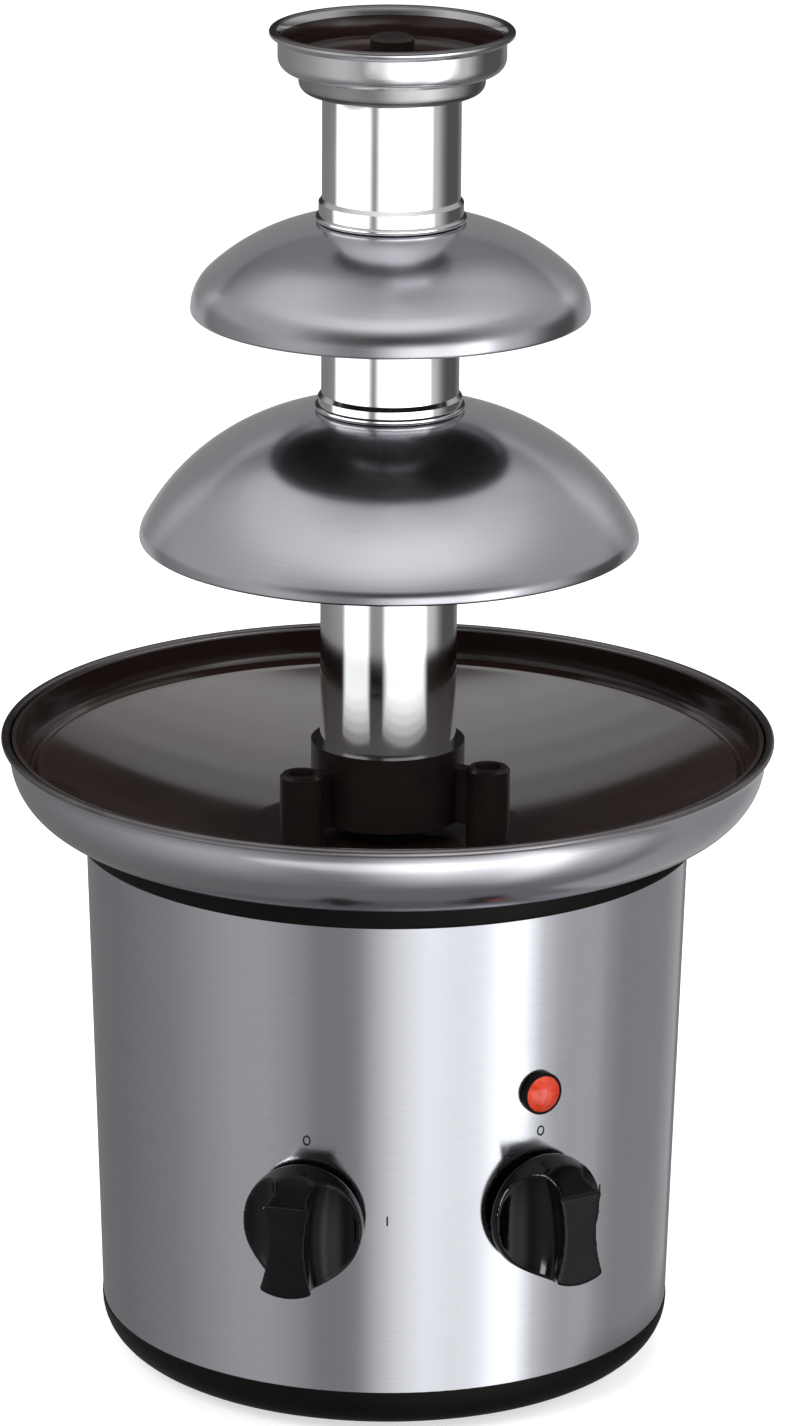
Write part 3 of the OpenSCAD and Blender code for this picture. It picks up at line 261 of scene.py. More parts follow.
def soft_marks():
    """Broad faint marks of handling and polish, over a fine skin."""
    tree, given, result = new_group("soft_marks", ("Patches", 30.0), ("Skin", 2500.0))
    broad_share, skin_share = 0.4, 0.6
    place = tree.nodes.new("ShaderNodeTexCoord").outputs["Object"]
    broad = noise(tree, place, given.outputs["Patches"], 4.0)
    skin = noise(tree, place, given.outputs["Skin"], 2.0)
    height = maths(tree, "ADD", maths(tree, "MULTIPLY", broad, broad_share),
                   maths(tree, "MULTIPLY", skin, skin_share))
    tree.links.new(broad, result.inputs["Mask"])
    tree.links.new(height, result.inputs["Height"])
    return tree


# The finishes, by the names of the record's slots and two more


GRAIN, MARKS = turned_grain(), soft_marks()
MASK_LOW, MASK_HIGH = 0.3, 0.7
FINISH = {}


def spread(tree, mask, low, high):
    """Stretches the middle of an effect's mask from low to high."""
    node = tree.nodes.new("ShaderNodeMapRange")
    set_sockets(node, From_Min=MASK_LOW, From_Max=MASK_HIGH, To_Min=low, To_Max=high)
    tree.links.new(mask, node.inputs["Value"])
    return node.outputs[0]


def material(name, effect, settings, colours, roughs, bump, **sockets):
    """Makes a finish. The effect's mask moves its colour and roughness between two values each,
    and the effect's height bumps it with a strength and a distance in metres."""
    made = bpy.data.materials.new(name)
    made.use_nodes = True
    tree = made.node_tree
    shader = tree.nodes["Principled BSDF"]
    group = tree.nodes.new("ShaderNodeGroup")
    group.node_tree = effect
    set_sockets(group, **settings)
    mask = group.outputs["Mask"]
    tint = tree.nodes.new("ShaderNodeMix")
    tint.data_type = "RGBA"
    ends = {socket.identifier: socket for socket in (*tint.inputs, *tint.outputs)}
    tree.links.new(spread(tree, mask, 0.0, 1.0), tint.inputs["Factor"])
    for end, colour in zip(("A_Color", "B_Color"), colours):
        ends[end].default_value = (*colour, 1)
    tree.links.new(ends["Result_Color"], shader.inputs["Base Color"])
    tree.links.new(spread(tree, mask, *roughs), shader.inputs["Roughness"])
    bumps = tree.nodes.new("ShaderNodeBump")
    set_sockets(bumps, Strength=bump[0], Distance=bump[1])
    tree.links.new(group.outputs["Height"], bumps.inputs["Height"])
    tree.links.new(bumps.outputs[0], shader.inputs["Normal"])
    set_sockets(shader, **sockets)
    FINISH[name] = made
    return made


def brush_round(made):
    """Turns a finish's highlights upright, as lines brushed round the axis do."""
    tree = made.node_tree
    tangent = tree.nodes.new("ShaderNodeTangent")
    tangent.direction_type = "RADIAL"
    tangent.axis = "Z"
    tree.links.new(tangent.outputs[0], tree.nodes["Principled BSDF"].inputs["Tangent"])


brush_round(material(
    "brushed_sleeve", GRAIN, {"Lines": 2600.0, "Streaks": 5.0},
    colours=((0.545, 0.555, 0.595), (0.585, 0.595, 0.635)), roughs=(0.11, 0.15),
    bump=(0.03, 0.0002), Metallic=1.0, Anisotropic=0.7, Anisotropic_Rotation=0.25))
brush_round(material(
    "satin_steel", GRAIN, {"Lines": 1800.0, "Streaks": 4.0},
    colours=((0.61, 0.61, 0.655), (0.65, 0.65, 0.695)), roughs=(0.17, 0.21),
    bump=(0.012, 0.0002), Metallic=1.0, Anisotropic=0.2, Anisotropic_Rotation=0.25))
material(
    "bright_steel", MARKS, {"Patches": 60.0, "Skin": 1500.0},
    colours=((0.79, 0.79, 0.81), (0.85, 0.85, 0.86)), roughs=(0.08, 0.13),
    bump=(0.02, 0.0001), Metallic=1.0)
material(
    "plain_steel", MARKS, {"Patches": 90.0, "Skin": 3000.0},
    colours=((0.42, 0.42, 0.43), (0.55, 0.55, 0.55)), roughs=(0.28, 0.45),
    bump=(0.08, 0.0002), Metallic=1.0)
material(
    "black_plastic", MARKS, {"Patches": 40.0, "Skin": 2600.0},
    colours=((0.0045, 0.0030, 0.0030), (0.0070, 0.0048, 0.0048)), roughs=(0.30, 0.42),
    bump=(0.10, 0.0002), Specular_IOR_Level=0.09)
material(
    "knob_plastic", MARKS, {"Patches": 120.0, "Skin": 3000.0},
    colours=((0.0012, 0.0010, 0.0010), (0.0026, 0.0020, 0.0020)), roughs=(0.08, 0.15),
    bump=(0.03, 0.0001), Specular_IOR_Level=0.25)
material(
    "brown_coating", MARKS, {"Patches": 25.0, "Skin": 1800.0},
    colours=((0.015, 0.008, 0.007), (0.022, 0.012, 0.010)), roughs=(0.10, 0.15),
    bump=(0.02, 0.0001), IOR=1.62)
material(
    "brown_plastic", MARKS, {"Patches": 60.0, "Skin": 2600.0},
    colours=((0.010, 0.006, 0.006), (0.016, 0.010, 0.009)), roughs=(0.24, 0.34),
    bump=(0.08, 0.0002), Specular_IOR_Level=0.3)
material(
    "rubber", MARKS, {"Patches": 150.0, "Skin": 4000.0},
    colours=((0.012, 0.012, 0.012), (0.022, 0.022, 0.022)), roughs=(0.65, 0.80),
    bump=(0.25, 0.0003), IOR=1.45)
material(
    "copper_alloy", MARKS, {"Patches": 90.0, "Skin": 3000.0},
    colours=((0.62, 0.33, 0.14), (0.78, 0.50, 0.24)), roughs=(0.22, 0.38),
    bump=(0.06, 0.0002), Metallic=1.0)
material(
    "white_plastic", MARKS, {"Patches": 60.0, "Skin": 2600.0},
    colours=((0.70, 0.69, 0.65), (0.80, 0.79, 0.76)), roughs=(0.38, 0.50),
    bump=(0.08, 0.0002), IOR=1.48)
material(
    "red_lens", MARKS, {"Patches": 500.0, "Skin": 3000.0},
    colours=((0.62, 0.030, 0.012), (0.80, 0.075, 0.030)), roughs=(0.06, 0.14),
    bump=(0.10, 0.0002), IOR=1.5, Coat_Weight=0.6, Coat_Roughness=0.05)
# A dark steel used only as painted shade, on the crown's lip, lower step and the bowl's rim.
material(
    "painted_shade_steel", MARKS, {"Patches": 60.0, "Skin": 2400.0},
    colours=((0.20, 0.18, 0.185), (0.27, 0.25, 0.255)), roughs=(0.24, 0.34),
    bump=(0.03, 0.0001), Metallic=1.0)
material(
    "label_ink", MARKS, {"Patches": 300.0, "Skin": 3000.0},
    colours=((0.010, 0.010, 0.012), (0.020, 0.020, 0.022)), roughs=(0.45, 0.60),
    bump=(0.05, 0.0001), IOR=1.45)


# The solids that stay as they are take their finish from the record's slots


def dress(node, finish):
    """Gives a solid its finish and smooths the shading of its round faces."""
    solid = frame["nodes"][node]
    solid.data.materials.clear()
    solid.data.materials.append(finish)
    for face in solid.data.polygons:
        face.use_smooth = True
    weld = solid.modifiers.new("weld", "WELD")
    weld.merge_threshold = SOLID_WELD
    split = solid.modifiers.new("edges", "EDGE_SPLIT")
    split.split_angle = math.radians(SOLID_SHARP)


for part in frame["record"]["subparts"]:
    dress(part["node"], FINISH[part["material_slot"]])


# The tower


def paint(bm, index, wanted):
    """Gives the faces that a test picks another of the piece's finishes. The test sees a face's
    radius and height, and how far its normal points outward and up."""
    for face in bm.faces:
        middle = face.calc_center_median()
        r = Vector((middle.x, middle.y)).length
        out = (face.normal.x * middle.x + face.normal.y * middle.y) / max(r, 1e-9)
        if wanted(r / MM, middle.z / MM, out, face.normal.z):
            face.material_index = index


def crown():
    """A stepped cup of polished sheet with a rolled lip and a spigot under it. Its inside, its
    lip's top and its lower step are painted darker for shade.
    """
    spigot_r, spigot_z = 18.5, 358.1
    step_r, step_bend, wall_r, wall_bend = 26.0, 3.0, 31.8, 4.0
    floor_z, ledge_z = Z_CROWN + SEAT_GAP, 376.0
    step = (step_r - step_bend, floor_z + step_bend)
    wall = (wall_r - wall_bend, ledge_z + wall_bend)
    lip_r = 1.15
    lip = (33.05, Z_LIP - lip_r)
    bm = (Outline(spigot_r - SHEET, spigot_z)
          .line((spigot_r, spigot_z), (spigot_r, floor_z), (step[0], floor_z)).arc(*step, 90)
          .line((step_r, ledge_z), (wall[0], ledge_z)).arc(*wall, 90)
          .line((wall_r, lip[1] - 1.8 * lip_r), on_circle(lip, lip_r, -110))
          .arc(*lip, 280, steps=20)
          .line((wall_r - SHEET, lip[1] - 1.2 * lip_r), (wall_r - SHEET, wall[1])).arc(*wall, -90)
          .line((step_r - SHEET, ledge_z + SHEET), (step_r - SHEET, step[1])).arc(*step, -90)
          .line((spigot_r - SHEET, floor_z + SHEET))
          .turn())

    # Painted shade: the inside takes the brown coating, the lip's top and the lower step's
    # underside the dark steel, and the lower step's outside the duller plain steel.
    def inside(r, z, out, up):
        return r < wall_r - 0.5 and z > floor_z + 0.35 and (out < -0.1 or up > 0.5)

    def shaded_lip_and_underside(r, z, out, up):
        return (z > lip[1] and up > 0.35) or (spigot_r + 0.1 < r < step_r + 0.2 and up < -0.4)

    def shaded_lower_step(r, z, out, up):
        return r > spigot_r + 0.1 and z < ledge_z - 0.1 and out > 0.2 and up >= -0.4

    finishes = ["bright_steel", "brown_coating", "painted_shade_steel", "plain_steel"]
    for index, wanted in enumerate((inside, shaded_lip_and_underside, shaded_lower_step), start=1):
        paint(bm, index, wanted)
    piece = to_object(bm, "crown_cup", *[FINISH[name] for name in finishes])
    return fit(piece, "crown", "bright_steel", "crown")


def bead(outline, dome_z):
    """A stop bead pressed out of a tube just under a dome."""
    z = dome_z - BEAD_DROP
    return outline.line((TUBE_R, z - CURL_R)).arc(TUBE_R, z, 180)


def bell(z, height):
    """Starts a tube at its widened and curled foot."""
    return (Outline(BELL_IN_R, z).line((BELL_R, z)).arc(BELL_R, z + CURL_R, 180)
            .line((BELL_R, z + height - BELL_STEP), (TUBE_R, z + height)))


def back_down(outline, top, foot, height):
    """Ends a tube at its top edge and goes back down its inside to the step in its foot."""
    step = foot + height - BELL_PLAY
    return outline.line((TUBE_R, top), (TUBE_IN_R, top), (TUBE_IN_R, step),
                        (BELL_IN_R, step - BELL_STEP)).turn()


def tubes():
    """The three polished tubes. The foot of each one fits over the top of the one below it."""
    spigot = BELL_STEP + BELL_PLAY + SEAT_GAP
    top = Z_LOWER_DOME + LOWER_BELL_H - spigot
    lower = (bead(Outline(TUBE_IN_R, Z_TUBE).line((TUBE_R, Z_TUBE)), Z_LOWER_DOME)
             .line((TUBE_R, top), (TUBE_IN_R, top)).turn())
    foot = Z_LOWER_DOME + SEAT_GAP
    top = Z_UPPER_DOME + UPPER_BELL_H - spigot
    middle = back_down(bead(bell(foot, LOWER_BELL_H), Z_UPPER_DOME), top, foot, LOWER_BELL_H)
    foot = Z_UPPER_DOME + SEAT_GAP
    upper = back_down(bell(foot, UPPER_BELL_H), Z_CROWN, foot, UPPER_BELL_H)
    return [fit(to_object(bm, name, FINISH["bright_steel"]), body, "bright_steel", node)
            for bm, name, body, node in ((lower, "tube_low", "tower_foot", "lower_tube"),
                                         (middle, "tube_mid", "mid_tube", "middle_tube"),
                                         (upper, "tube_top", "top_tube", "upper_tube"))]


def dome(name, body, node, z, width, height, edge_r, edge_a):
    """A dome of sheet under a neck: a broad arc, a tighter one at the edge and a rolled hem. The
    broad arc's radius is the one that runs smoothly into the edge's at the angle edge_a."""
    hem_width = 2.4
    edge = (width / 2 - edge_r, z - height)
    to_neck = Vector((NECK_R - width / 2 + edge_r, height))
    along = to_neck.dot((math.cos(math.radians(edge_a)), math.sin(math.radians(edge_a))))
    broad_r = (2 * edge_r * along - to_neck.dot(to_neck) - edge_r ** 2) / (2 * (along - edge_r))
    broad = on_circle(edge, broad_r - edge_r, edge_a + 180)
    neck_out = math.degrees(math.acos((NECK_R - broad[0]) / broad_r))
    neck_in = math.degrees(math.acos((NECK_R - broad[0]) / (broad_r - SHEET)))
    hem_a = math.degrees(math.asin(1.3 * CURL_R / (edge_r - SHEET)))
    curl = (width / 2 - CURL_R, z - height)
    bm = (Outline(*on_circle(broad, broad_r, neck_out))
          .arc(*broad, edge_a - neck_out, steps=40)
          .arc(*edge, -edge_a, steps=16)
          .arc(*curl, -210, steps=14)
          .line(on_circle(edge, edge_r - SHEET, hem_a))
          .arc(*edge, edge_a - hem_a, steps=12)
          .arc(*broad, neck_in - edge_a, steps=40)
          .turn())
    # Painted shade: the dome's underside, inside the hem, is dark brown.
    paint(bm, 1, lambda r, z, out, up: up < 0 and r < width / 2 - hem_width)
    piece = to_object(bm, name, FINISH["satin_steel"], FINISH["brown_plastic"])
    return fit(piece, body, "satin_steel", node)


# The bowl


def bowl():
    """The satin outside of the bowl with its rolled rim, and the dark lining with a groove round
    its floor. Both walls bend up about one centre."""
    hole_r, wall_r, bend_r, skirt_t, rim_r = 82.5, 107.7, 18.0, 0.6, 1.2
    bend = (wall_r - bend_r, Z_BOWL + bend_r)
    rim = (wall_r + rim_r, Z_RIM - rim_r)
    skirt = (Outline(hole_r, Z_BOWL).line((bend[0], Z_BOWL)).arc(*bend, 90, steps=24)
             .line((wall_r, Z_RIM - 3 * rim_r), on_circle(rim, rim_r, -120))
             .arc(*rim, 300, steps=24)
             .line((wall_r - skirt_t, Z_RIM - 2 * rim_r), (wall_r - skirt_t, bend[1]))
             .arc(*bend, -90, steps=24).line((hole_r, Z_BOWL + skirt_t))
             .turn(steps=BOWL_STEPS))
    # Painted shade: the rim's upper half is darker steel.
    paint(skirt, 1, lambda r, z, out, up: z > rim[1] - 0.1)
    outside = to_object(skirt, "bowl_outside", FINISH["satin_steel"], FINISH["painted_shade_steel"])
    fit(outside, "base", "satin_steel", "bowl_skirt")

    shaft_r, flat_r, floor_r, dish_r, pan_t, shoulder_r = 8, 38.5, 98.4, 218.5, 1.2, 1.6
    bend_in, bend_out, ledge, under = 16.1, 17.3, 175.2, 173.0
    groove = ((101.1, ledge - 1.1), (101.7, ledge - 0.9), (102.3, ledge))
    wall_in, wall_out = bend[0] + bend_in, bend[0] + bend_out
    dish = (0, Z_FLOOR + math.sqrt(dish_r ** 2 - flat_r ** 2))
    flat_a, floor_a = (-math.degrees(math.acos(r / dish_r)) for r in (flat_r, floor_r))
    ledge_a, under_a = (math.degrees(math.asin((z - bend[1]) / r))
                        for z, r in ((ledge, bend_in), (under, bend_out)))
    pan = (Outline(shaft_r, Z_FLOOR).line((flat_r, Z_FLOOR))
           .arc(*dish, floor_a - flat_a, steps=40)
           .arc(*on_circle(dish, dish_r + shoulder_r, floor_a), -100, steps=10)
           .line(*groove, on_circle(bend, bend_in, ledge_a)).arc(*bend, -ledge_a, steps=16)
           .line((wall_in, rim[1]), (wall_out, rim[1]), (wall_out, bend[1]))
           .arc(*bend, under_a, steps=16)
           .line((floor_r + 1, under), on_circle(dish, dish_r + pan_t, floor_a - 1))
           .arc(*dish, flat_a - floor_a + 1, steps=40)
           .line((shaft_r, Z_FLOOR - pan_t))
           .turn(steps=BOWL_STEPS))
    lining = to_object(pan, "bowl_lining", FINISH["brown_coating"])
    return outside, fit(lining, "base", "brown_coating", "bowl_pan", "pan_wall")


# The controls


def keep_result(piece):
    """Turns a piece's modifiers into its mesh."""
    graph = bpy.context.evaluated_depsgraph_get()
    result = bpy.data.meshes.new_from_object(piece.evaluated_get(graph))
    piece.modifiers.clear()
    piece.data = result


def cut(piece, *cutters):
    """Takes other shapes out of a piece, and removes them."""
    for cutter in cutters:
        step = piece.modifiers.new("cut", "BOOLEAN")
        step.operation = "DIFFERENCE"
        step.solver = "EXACT"
        step.object = cutter
    keep_result(piece)
    for cutter in cutters:
        bpy.data.objects.remove(cutter)


def soften(piece, voxel, rounds):
    """Gives a piece an even skin and eases its edges."""
    skin = piece.modifiers.new("skin", "REMESH")
    skin.mode = "VOXEL"
    skin.voxel_size = voxel * MM
    ease = piece.modifiers.new("ease", "SMOOTH")
    ease.factor = 0.5
    ease.iterations = rounds
    keep_result(piece)


def knob(name, body, node, degrees):
    """A knob with a grip bar: a turned blank, hollowed on both sides to a waist and sloped at the
    bar's upper end."""
    knob_r, front_r, knob_h, edge_r, skirt_h = 17.2, 15.8, 20, 1, 2
    bore_r, bore_h, recess_r, recess_h = 3.02, 8.5, 7.9, 3
    slope_z, slope_run = 7, 6.06
    scoop_r, scoop_l, scoop_x, scoop_z = 10.5, 24, 13.75, 13.5
    body_gap = 2.2
    blank = (Outline(0, bore_h)
             .line((bore_r, bore_h), (bore_r, recess_h), (recess_r, recess_h), (recess_r, 0),
                   (knob_r, 0), (knob_r, skirt_h), (front_r, knob_h - edge_r))
             .arc(front_r - edge_r, knob_h - edge_r, 90).line((0, knob_h))
             .turn(closed=False, steps=KNOB_STEPS))
    slope = bmesh.ops.bisect_plane(
        blank, geom=blank.verts[:] + blank.edges[:] + blank.faces[:],
        plane_co=(0, knob_r * MM, slope_z * MM), plane_no=(0, knob_h - slope_z, slope_run),
        clear_outer=True)
    open_edges = [item for item in slope["geom_cut"] if isinstance(item, bmesh.types.BMEdge)]
    bmesh.ops.edgenet_fill(blank, edges=open_edges)
    piece = to_object(blank, name)
    scoops = []
    for side in (-1, 1):
        scoop = bmesh.new()
        place = (Matrix.Translation((side * scoop_x * MM, 0, scoop_z * MM))
                 @ Matrix.Diagonal((scoop_r, scoop_l, scoop_r, 1)))
        bmesh.ops.create_uvsphere(scoop, u_segments=128, v_segments=96, radius=MM, matrix=place)
        scoops.append(to_object(scoop, "scoop"))
    cut(piece, *scoops)
    soften(piece, voxel=0.35, rounds=22)
    piece.data.transform(on_body(degrees, KNOB_Z, body_r(KNOB_Z) + body_gap))
    piece.data.materials.clear()
    piece.data.materials.append(FINISH["knob_plastic"])
    for face in piece.data.polygons:
        face.use_smooth = True
    return fit(piece, body, "knob_plastic", node)


def lamp():
    """The pilot lamp: a black bezel with a rounded edge and a low red dome."""
    shank_r, shank_in_r, shank_z, seat_z = 4.75, 3.85, -8, 1.0
    bezel_r, mouth_r, bezel_z, bezel_h, round_r = 6.1, 5.27, 0.25, 2.1, 0.5
    lens_r, stem_r, stem_z, dome_z, dome_h = 5.25, 3.83, -3, 2.0, 2.0
    dome_r = (lens_r ** 2 + dome_h ** 2) / (2 * dome_h)
    bezel = (Outline(shank_in_r, shank_z)
             .line((shank_r, shank_z), (shank_r, bezel_z), (bezel_r, bezel_z),
                   (bezel_r, bezel_h - round_r))
             .arc(bezel_r - round_r, bezel_h - round_r, 90, steps=8)
             .line((mouth_r, bezel_h), (mouth_r, seat_z), (shank_in_r, seat_z))
             .turn(steps=LAMP_STEPS))
    lens = (Outline(0, stem_z)
            .line((stem_r, stem_z), (stem_r, seat_z), (lens_r, seat_z), (lens_r, dome_z))
            .arc(0, dome_z + dome_h - dome_r, math.degrees(math.asin(lens_r / dome_r)), steps=16)
            .turn(closed=False, steps=LAMP_STEPS))
    place = on_body(LAMP_A, LAMP_Z, body_r(LAMP_Z))
    for bm, name, slot, node in ((bezel, "lamp_ring", "black_plastic", "lamp_bezel"),
                                 (lens, "lamp_dome", "red_lens", "lamp_lens")):
        bmesh.ops.transform(bm, matrix=place, verts=bm.verts[:])
        fit(to_object(bm, name, FINISH[slot]), "base", slot, node)


def marks():
    """Plain marks printed beside the knobs: a ring above for off, a bar at the right for on."""
    ink, lift = 0.03, 0.06
    ring_in_r, ring_r, ring_shape = 0.9, 1.35, (0.85, 1.15, 1)
    bar_width, bar_height = 0.5, 2.8
    off_z, on_z, on_a = 90.5, 67.5, 15.5
    for name, degrees in (("motor", MOTOR_A), ("heat", HEAT_A)):
        ring = (Outline(ring_in_r, 0).line((ring_r, 0), (ring_r, ink), (ring_in_r, ink))
                .turn(steps=RING_STEPS))
        bmesh.ops.scale(ring, vec=ring_shape, verts=ring.verts[:])
        bar = bmesh.new()
        bmesh.ops.create_cube(bar, size=1)
        bmesh.ops.scale(bar, vec=(bar_width * MM, bar_height * MM, ink * MM), verts=bar.verts[:])
        for bm, kind, turn, z in ((ring, "off", 0, off_z), (bar, "on", on_a, on_z)):
            place = on_body(degrees + turn, z, body_r(z) + lift)
            bmesh.ops.transform(bm, matrix=place, verts=bm.verts[:])
            piece = to_object(bm, f"{name}_{kind}_mark", FINISH["label_ink"])
            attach(piece, "base")


crown_cup = crown()
tube_low, tube_mid, tube_top = tubes()
dome_low = dome("dome_low", "lower_dome", "lower_tier", Z_LOWER_DOME,
                width=141.2, height=36.9, edge_r=7.0, edge_a=28.0)
dome_top = dome("dome_top", "upper_dome", "upper_tier", Z_UPPER_DOME,
                width=112.2, height=25.3, edge_r=13.7, edge_a=46.6)
bowl_outside, bowl_lining = bowl()
knob_motor = knob("knob_motor", "motor_knob", "motor_knob", MOTOR_A)
knob_heat = knob("knob_heat", "heat_knob", "heat_knob", HEAT_A)
lamp()
marks()


# The studio: a pale floor, soft boxes and a white surround, in metres


POLISH_LEVEL = 1.76
PLAIN_LEVEL = 0.56
FLOOR_R = 6
FLOOR_GLOW = 0.62
AIM = Vector((0, 0, 0.2))
STRIP_LAYERS = 5
STRIP_EDGE = 0.045


def grey(level):
    """A level as a colour."""
    return level, level, level, 1


def ramp(tree, factor, stops):
    """A colour ramp of greys, from stops given as place and level."""
    node = tree.nodes.new("ShaderNodeValToRGB")
    elements = node.color_ramp.elements
    elements.remove(elements[-1])
    first_place, first_level = stops[0]
    elements[0].position = first_place
    elements[0].color = grey(first_level)
    for place, level in stops[1:]:
        elements.new(place).color = grey(level)
    tree.links.new(factor, node.inputs[0])
    return node.outputs["Color"]


def surround():
    """White to the camera. Polished metal sees a studio's bright front and dark sides instead."""
    world = bpy.data.worlds.new("studio")
    scene.world = world
    world.use_nodes = True
    tree = world.node_tree
    tree.nodes.clear()
    x, y, z = axes(tree, tree.nodes.new("ShaderNodeTexCoord").outputs["Generated"])
    turn = maths(tree, "ARCTAN2", x, maths(tree, "MULTIPLY", y, -1.0))
    turn_share = maths(tree, "ADD", maths(tree, "DIVIDE", turn, math.tau), 0.5)
    up_share = maths(tree, "ADD", maths(tree, "MULTIPLY", z, 0.5), 0.5)

    def round_about(*stops):
        """Levels by the angle from the front."""
        return ramp(tree, turn_share, [((angle + 180) / 360, level) for angle, level in stops])

    def rising(*stops):
        """Levels by the angle above the horizon."""
        return ramp(tree, up_share, [(0.5 + 0.5 * math.sin(math.radians(angle)), level)
                                     for angle, level in stops])

    def blend(factor, a, b):
        """Goes from a to b as the factor goes from 0 to 1."""
        node = tree.nodes.new("ShaderNodeMix")
        node.data_type = "FLOAT"
        for name, value in (("Factor", factor), ("A", a), ("B", b)):
            feed(tree, node.inputs[name], value)
        return node.outputs["Result"]

    sides = round_about(
        (-180, 0.12), (-137, 0.125), (-117, 0.155), (-99, 0.185), (-83, 0.245), (-69, 0.295),
        (-56, 0.30), (-43, 0.245), (-35, 0.175), (-25, 0.175), (-19, 0.20), (-11, 0.43),
        (-3, 0.66), (8, 0.86), (21, 0.78), (29, 0.83), (37, 1.12), (46, 1.18), (55, 0.53),
        (64, 0.355), (74, 0.31), (88, 0.11), (98, 0.05), (140, 0.05), (155, 0.10), (180, 0.12))
    under = 0.10
    high = maths(
        tree, "MULTIPLY",
        round_about((-180, 0.55), (-110, 0.68), (-50, 0.82), (-8, 1.0), (30, 0.98), (70, 0.74),
                    (110, 0.55), (180, 0.55)),
        rising((30, 0.56), (62, 0.60), (75, 0.44), (90, 0.36)))
    low = round_about(
        (-180, 0.12), (-130, 0.24), (-70, 0.28), (-40, 0.08), (-8, 0.03), (24, 0.05), (60, 0.22),
        (120, 0.24), (180, 0.12))
    back = rising(
        (-90, 0.08), (-45, 0.10), (-20, 0.12), (-8, 0.12), (-2, 0.02), (25, 0.02), (30, 0.13),
        (60, 0.15), (75, 0.22), (86, 0.30))
    sky = blend(rising((28, 0), (38, 0.3), (48, 1)), low, high)
    front = blend(rising((-90, 1), (-62, 1), (-45, 0.62), (-30, 0.18), (-20, 0)), sides, under)
    front = blend(rising((4, 0), (14, 1)), front, sky)
    behind = round_about((-180, 1), (-156, 1), (-142, 0), (130, 0), (148, 1), (180, 1))
    in_polish = maths(tree, "MULTIPLY", blend(behind, front, back), POLISH_LEVEL)
    path = tree.nodes.new("ShaderNodeLightPath").outputs
    light = blend(path["Is Glossy Ray"], PLAIN_LEVEL, in_polish)
    seen = maths(tree, "MAXIMUM", path["Is Camera Ray"], path["Is Transmission Ray"])
    glow = tree.nodes.new("ShaderNodeBackground")
    glow.inputs["Color"].default_value = grey(1)
    tree.links.new(blend(seen, light, 1.0), glow.inputs["Strength"])
    tree.links.new(glow.outputs[0], tree.nodes.new("ShaderNodeOutputWorld").inputs["Surface"])


def floor():
    """A pale round floor that takes the shadows, is near white to the camera and dull to polish."""
    bm = bmesh.new()
    bmesh.ops.create_circle(bm, cap_ends=True, segments=128, radius=FLOOR_R)
    made = bpy.data.materials.new("pale_floor")
    made.use_nodes = True
    tree = made.node_tree
    shader = tree.nodes["Principled BSDF"]
    set_sockets(shader, Base_Color=grey(0.82), Roughness=0.9, Specular_IOR_Level=0.1,
                Emission_Color=grey(1))
    seen = tree.nodes.new("ShaderNodeLightPath").outputs["Is Camera Ray"]
    glow = maths(tree, "MULTIPLY", seen, FLOOR_GLOW)
    tree.links.new(glow, shader.inputs["Emission Strength"])
    ground = to_object(bm, "floor", made)
    ground.visible_glossy = False


def area_light(name, width, height, watts):
    """A rectangular light."""
    light = bpy.data.lights.new(name, "AREA")
    light.shape = "RECTANGLE"
    light.size, light.size_y = width, height
    light.energy = watts
    box = bpy.data.objects.new(name, light)
    scene.collection.objects.link(box)
    return box


def soft_box(name, place, size, watts):
    """A soft box turned to the drum. It lights all pieces, but doesn't show in their polish."""
    box = area_light(name, *size, watts)
    box.location = place
    box.rotation_euler = (AIM - Vector(place)).to_track_quat("-Z", "Y").to_euler()
    box.visible_glossy = False


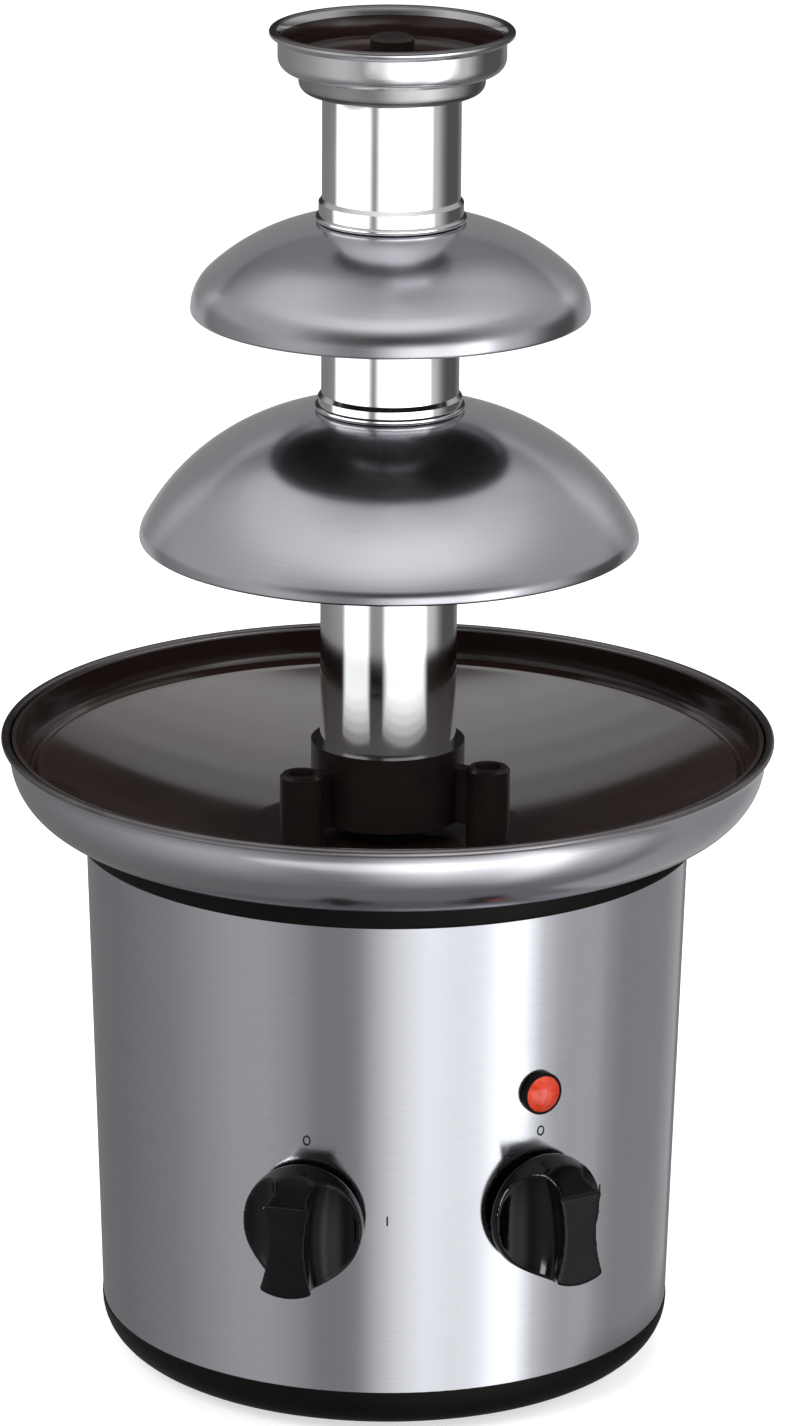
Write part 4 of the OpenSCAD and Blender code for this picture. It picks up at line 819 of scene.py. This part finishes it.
def strip_box(name, degrees, distance, width, foot, top, level, fade, *pieces):
    """An upright soft box turned to the axis, for a few pieces alone. Its layers grow narrower and
    start higher up one after the other, so its sides and its foot are soft."""
    receivers = bpy.data.collections.new(name)
    for piece in pieces:
        receivers.objects.link(piece)
    for layer in range(STRIP_LAYERS):
        layer_foot = foot + fade * layer / (STRIP_LAYERS - 1)
        across = (1 - STRIP_EDGE * layer) * width * MM
        upright = (top - layer_foot) * MM
        watts = level / STRIP_LAYERS * math.pi * across * upright
        box = area_light(f"{name}_{layer}", across, upright, watts)
        box.matrix_world = on_body(degrees, (layer_foot + top) / 2, distance + layer)
        box.visible_camera = False
        box.light_linking.receiver_collection = receivers


def camera():
    """The camera stands to the left of the front and looks down, a little turned and rolled."""
    data = bpy.data.cameras.new("camera")
    data.sensor_width = 36
    data.lens = 171.67
    data.clip_start, data.clip_end = 0.05, 50
    view = bpy.data.objects.new("camera", data)
    side, pitch, yaw, roll = (math.radians(angle) for angle in (-8.0, 17.15, -0.106, 0.41))
    distance, height = 1.8505, 0.7609
    stand = Matrix.Translation((math.sin(side) * distance, -math.cos(side) * distance, height))
    view.matrix_world = (stand @ Matrix.Rotation(side + yaw, 4, "Z")
                         @ Matrix.Rotation(math.radians(90) - pitch, 4, "X")
                         @ Matrix.Rotation(roll, 4, "Z"))
    scene.collection.objects.link(view)
    scene.camera = view


surround()
floor()
soft_box("key_box", (-1.1, -1.3, 1.5), (0.9, 0.9), watts=18)
soft_box("fill_box", (1.4, -1.0, 1.0), (0.8, 1.2), watts=10)
soft_box("top_box", (0.1, 0.3, 1.9), (1.2, 1.2), watts=12)

# Name, degrees from the front, distance, width, foot, top, level, fade and the pieces lit, in mm
for strip in (
        ("low_tube_left", -57, 62, 52, 172, 300, 1.1, 12, tube_low),
        ("low_tube_front", 18, 62, 84, 172, 300, 1.2, 12, tube_low),
        ("tube_left", -69, 62, 82, 250, 358, 1.4, 12, tube_mid, tube_top),
        ("tube_front", 14, 62, 120, 250, 358, 1.5, 12, tube_mid, tube_top),
        ("crown_front", 10, 62, 110, 367, 386, 0.5, 4, crown_cup),
        ("dome_back", 172, 300, 900, 40, 500, 0.25, 12, dome_low, dome_top),
        ("pan_back", 172, 300, 720, 300, 640, 2.1, 230, bowl_lining),
        ("body_side", 86, 120, 170, -20, 190, 0.23, 12, frame["nodes"]["sleeve"], bowl_outside),
        ("skirt_front", -6, 200, 300, 120, 163, 0.7, 12, bowl_outside),
        ("knob_side", -64, 350, 220, 60, 300, 14.0, 12, knob_motor, knob_heat)):
    strip_box(*strip)
camera()
scene.view_settings.view_transform = "Standard"
